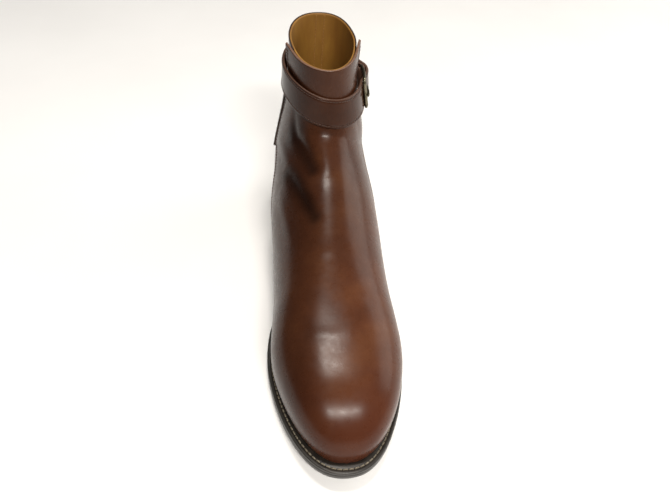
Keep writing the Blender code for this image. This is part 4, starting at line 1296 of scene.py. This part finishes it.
def build_keeper(strap):
    """A narrow loop of strap leather over both layers, its edges rounded."""
    inside = (-SEAM_GAP, 2 * STRAP_THICKNESS + 2 * SEAM_GAP)
    half = STRAP_WIDTH / 2 + SEAM_GAP
    corner = 1.2 * MM
    track = []
    corners = ((inside[1], 1, 0), (inside[0], 1, 90), (inside[0], -1, 180), (inside[1], -1, 270))
    for lift, side, heading in corners:
        for turn in np.linspace(0, 90, 7):
            a = math.radians(heading + turn)
            track.append((lift, side * half, math.cos(a), math.sin(a)))
    loops = []
    bead = 0.35 * MM
    width = KEEPER_WIDTH
    thick = KEEPER_THICKNESS
    section_of = ((0, bead), (0, width - bead), (bead, width), (thick - bead, width), (thick, width - bead),
                  (thick, bead), (thick - bead, 0), (bead, 0))
    for lift, side, out_lift, out_side in track:
        base_lift = lift - corner * (1 if lift > 0 else -1) if abs(lift) > corner else lift
        base_side = side - corner * (1 if side > 0 else -1)
        loop = []
        for grow, arc in section_of:
            away = corner + grow
            above, beside = base_lift + away * out_lift, base_side + away * out_side
            loop.append(strap.place(KEEPER_BACK + arc, above, beside))
        loops.append(loop)
    places, faces = swept(np.array(loops), closed=True)
    piece("strap_keeper_leather", places, faces, [STRAP_CALF], ("strap_keeper",))


def build_stay(form, strap):
    """The stay from the inner quarter up to the inside of the strap."""
    spots = np.linspace(-0.5, 0.5, 11) * STAY_WIDTH
    low, high = SEAM_GAP, SEAM_GAP + STAY_THICKNESS
    outer, inner = [], []
    for u in np.linspace(STAY_ROOT, STAY_ROOT_END, 7):
        v = -(seam(u, -1) + STAY_BEHIND_SEAM) - spots / form.length(u, -1)
        outer.append(form.place(u, v, high))
        inner.append(form.place(u, v, low))
    for across in np.linspace(-0.5, 0.42, 4) * STRAP_WIDTH:
        arc = strap.round * STAY_ARC - spots
        outer.append(strap.place(arc, -low, across))
        inner.append(strap.place(arc, -high, across))
    grids = []
    for grid in (np.array(outer), np.array(inner)):
        steps = np.linalg.norm(np.diff(grid[:, 5], axis=0), axis=1)
        gone = np.concatenate([[0], np.cumsum(steps)])
        fine = np.linspace(0, gone[-1], 70)
        flat = grid.reshape(len(grid), -1)
        made = np.stack([spline(gone, flat[:, k], fine) for k in range(flat.shape[1])], axis=1)
        grids.append(made.reshape(len(fine), -1, 3))
    front, behind = grids
    middle = (front + behind) / 2
    soft = 0.55
    front_edge = middle + (front - middle) * soft
    behind_edge = middle + (behind - middle) * soft
    loops = np.concatenate([front_edge[:, :1], front[:, 1:-1], front_edge[:, -1:], behind_edge[:, -1:],
                            behind[:, -2:0:-1], behind_edge[:, :1]], axis=1)
    places, faces = swept(loops, closed=False)
    piece("strap_stay_leather", places, faces, [STRAP_CALF], ("strap_stay",))


# The studio: each softbox is (name, place, aim, size, watts), and the room's glow is an easing along X
LIGHT_COLOUR = (1.0, 0.95, 0.88)
FLOOR_HALF = 3.0
SOFTBOXES = (
    ("overhead_softbox", (-0.01, 0.10, 1.37), (-0.01, -0.21, 0.06), (0.32, 0.08), 9),
    ("front_softbox", (0.03, -1.06, 1.18), (0, -0.22, 0.05), (0.72, 0.10), 20),
    ("outer_softbox", (1.3, 0.25, 0.60), (0, -0.1, 0.08), (1.1, 0.9), 10),
)
ROOM_GLOW = (-0.2, 1.0, 0.10, 0.36)


def build_camera():
    """The photograph's camera, turned about its own upright axis so that the boot is in the middle."""
    down, yaw, roll = (math.radians(a) for a in (CAMERA_DOWN, CAMERA_YAW, CAMERA_ROLL))
    ahead = Vector((math.sin(yaw) * math.cos(down), math.cos(yaw) * math.cos(down), -math.sin(down)))
    right = Vector((math.cos(yaw), -math.sin(yaw), 0))
    up = right.cross(ahead)
    right, up = right * math.cos(roll) + up * math.sin(roll), up * math.cos(roll) - right * math.sin(roll)
    turn = Matrix.Rotation(-math.radians(CAMERA_ASIDE), 3, up)
    right, ahead = turn @ right, turn @ ahead
    data = bpy.data.cameras.new("camera")
    data.sensor_width = SENSOR_WIDTH
    data.lens = FOCAL_PIXELS * SENSOR_WIDTH / IMAGE_WIDTH
    data.clip_start, data.clip_end = 0.01, 50
    camera = bpy.data.objects.new("camera", data)
    camera.matrix_world = Matrix((
        (right.x, up.x, -ahead.x, CAMERA_AT[0]),
        (right.y, up.y, -ahead.y, CAMERA_AT[1]),
        (right.z, up.z, -ahead.z, CAMERA_AT[2]),
        (0, 0, 0, 1),
    ))
    bpy.context.scene.collection.objects.link(camera)
    bpy.context.scene.camera = camera


def softbox(name, place, aim, size, power):
    data = bpy.data.lights.new(name, "AREA")
    data.shape = "RECTANGLE"
    data.size, data.size_y = size
    data.energy = power
    data.color = LIGHT_COLOUR
    light = bpy.data.objects.new(name, data)
    light.location = place
    light.rotation_mode = "QUATERNION"
    light.rotation_quaternion = (Vector(aim) - Vector(place)).to_track_quat("-Z", "Y")
    bpy.context.scene.collection.objects.link(light)


def build_studio():
    bm = bmesh.new()
    bmesh.ops.create_grid(bm, x_segments=4, y_segments=4, size=FLOOR_HALF)
    mesh = bpy.data.meshes.new("floor")
    bm.to_mesh(mesh)
    bm.free()
    mesh.materials.append(paper_floor())
    floor = bpy.data.objects.new("floor", mesh)
    bpy.context.scene.collection.objects.link(floor)
    for settings in SOFTBOXES:
        softbox(*settings)
    world_light = bpy.data.worlds.new("studio")
    world_light.use_nodes = True
    tree = world_light.node_tree
    heading = add(tree, "TexCoord").outputs["Generated"]
    axes = add(tree, "SeparateXYZ", {"Vector": heading})
    glow = eased(tree, axes.outputs["X"], *ROOM_GLOW)
    background = tree.nodes["Background"]
    background.inputs["Color"].default_value = (1, 1, 1, 1)
    tree.links.new(glow, background.inputs["Strength"])
    bpy.context.scene.world = world_light
    bpy.context.scene.view_settings.view_transform = "Standard"


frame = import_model()

CALF = polished_calf("polished_calf", "#4f2c1a", "#432313", "#5a351f", 0.25)
STRAP_CALF = polished_calf("strap_calf", "#462819", "#3b2114", "#52301e", 0.17, painted_toe_and_crease_shade=False)
CUT_EDGE = cut_edge("cut_calf_edge", "#7d5d4a", "#553a2b")
STRAP_EDGE = cut_edge("waxed_strap_edge", "#5d4031", "#3e2a20")
DARK_EDGE = cut_edge("inked_collar_edge", "#3a2720", "#261812")
LINING = lining_leather()
SOLE_EDGE = sole_edge_leather("inked_sole_edge", "#171411", "#29231c", 0.34)
WELT = sole_edge_leather("inked_welt", "#181512", "#2c261f", 0.42)
RUBBER = heel_rubber()
METAL = antique_metal()
BROWN_THREAD = waxed_thread("brown_thread", "#2c1a12", "#4c3022")
TAN_THREAD = waxed_thread("tan_thread", "#7a5226", "#a9793c")
SOLE_THREAD = waxed_thread("dark_sole_thread", "#5a5144", "#8d8472")

FORM = Form()
STRAP = Strap(FORM)
FORM.press(fold_depth(FORM))

build_panel(FORM)
build_quarters(FORM)
build_lining(FORM)
build_back_seam(FORM)
build_panel_thread(FORM)
build_outsole()
build_welt()
build_insole()
build_heel()
build_strap(STRAP)
build_buckle(STRAP)
build_keeper(STRAP)
build_stay(FORM, STRAP)
build_camera()
build_studio()
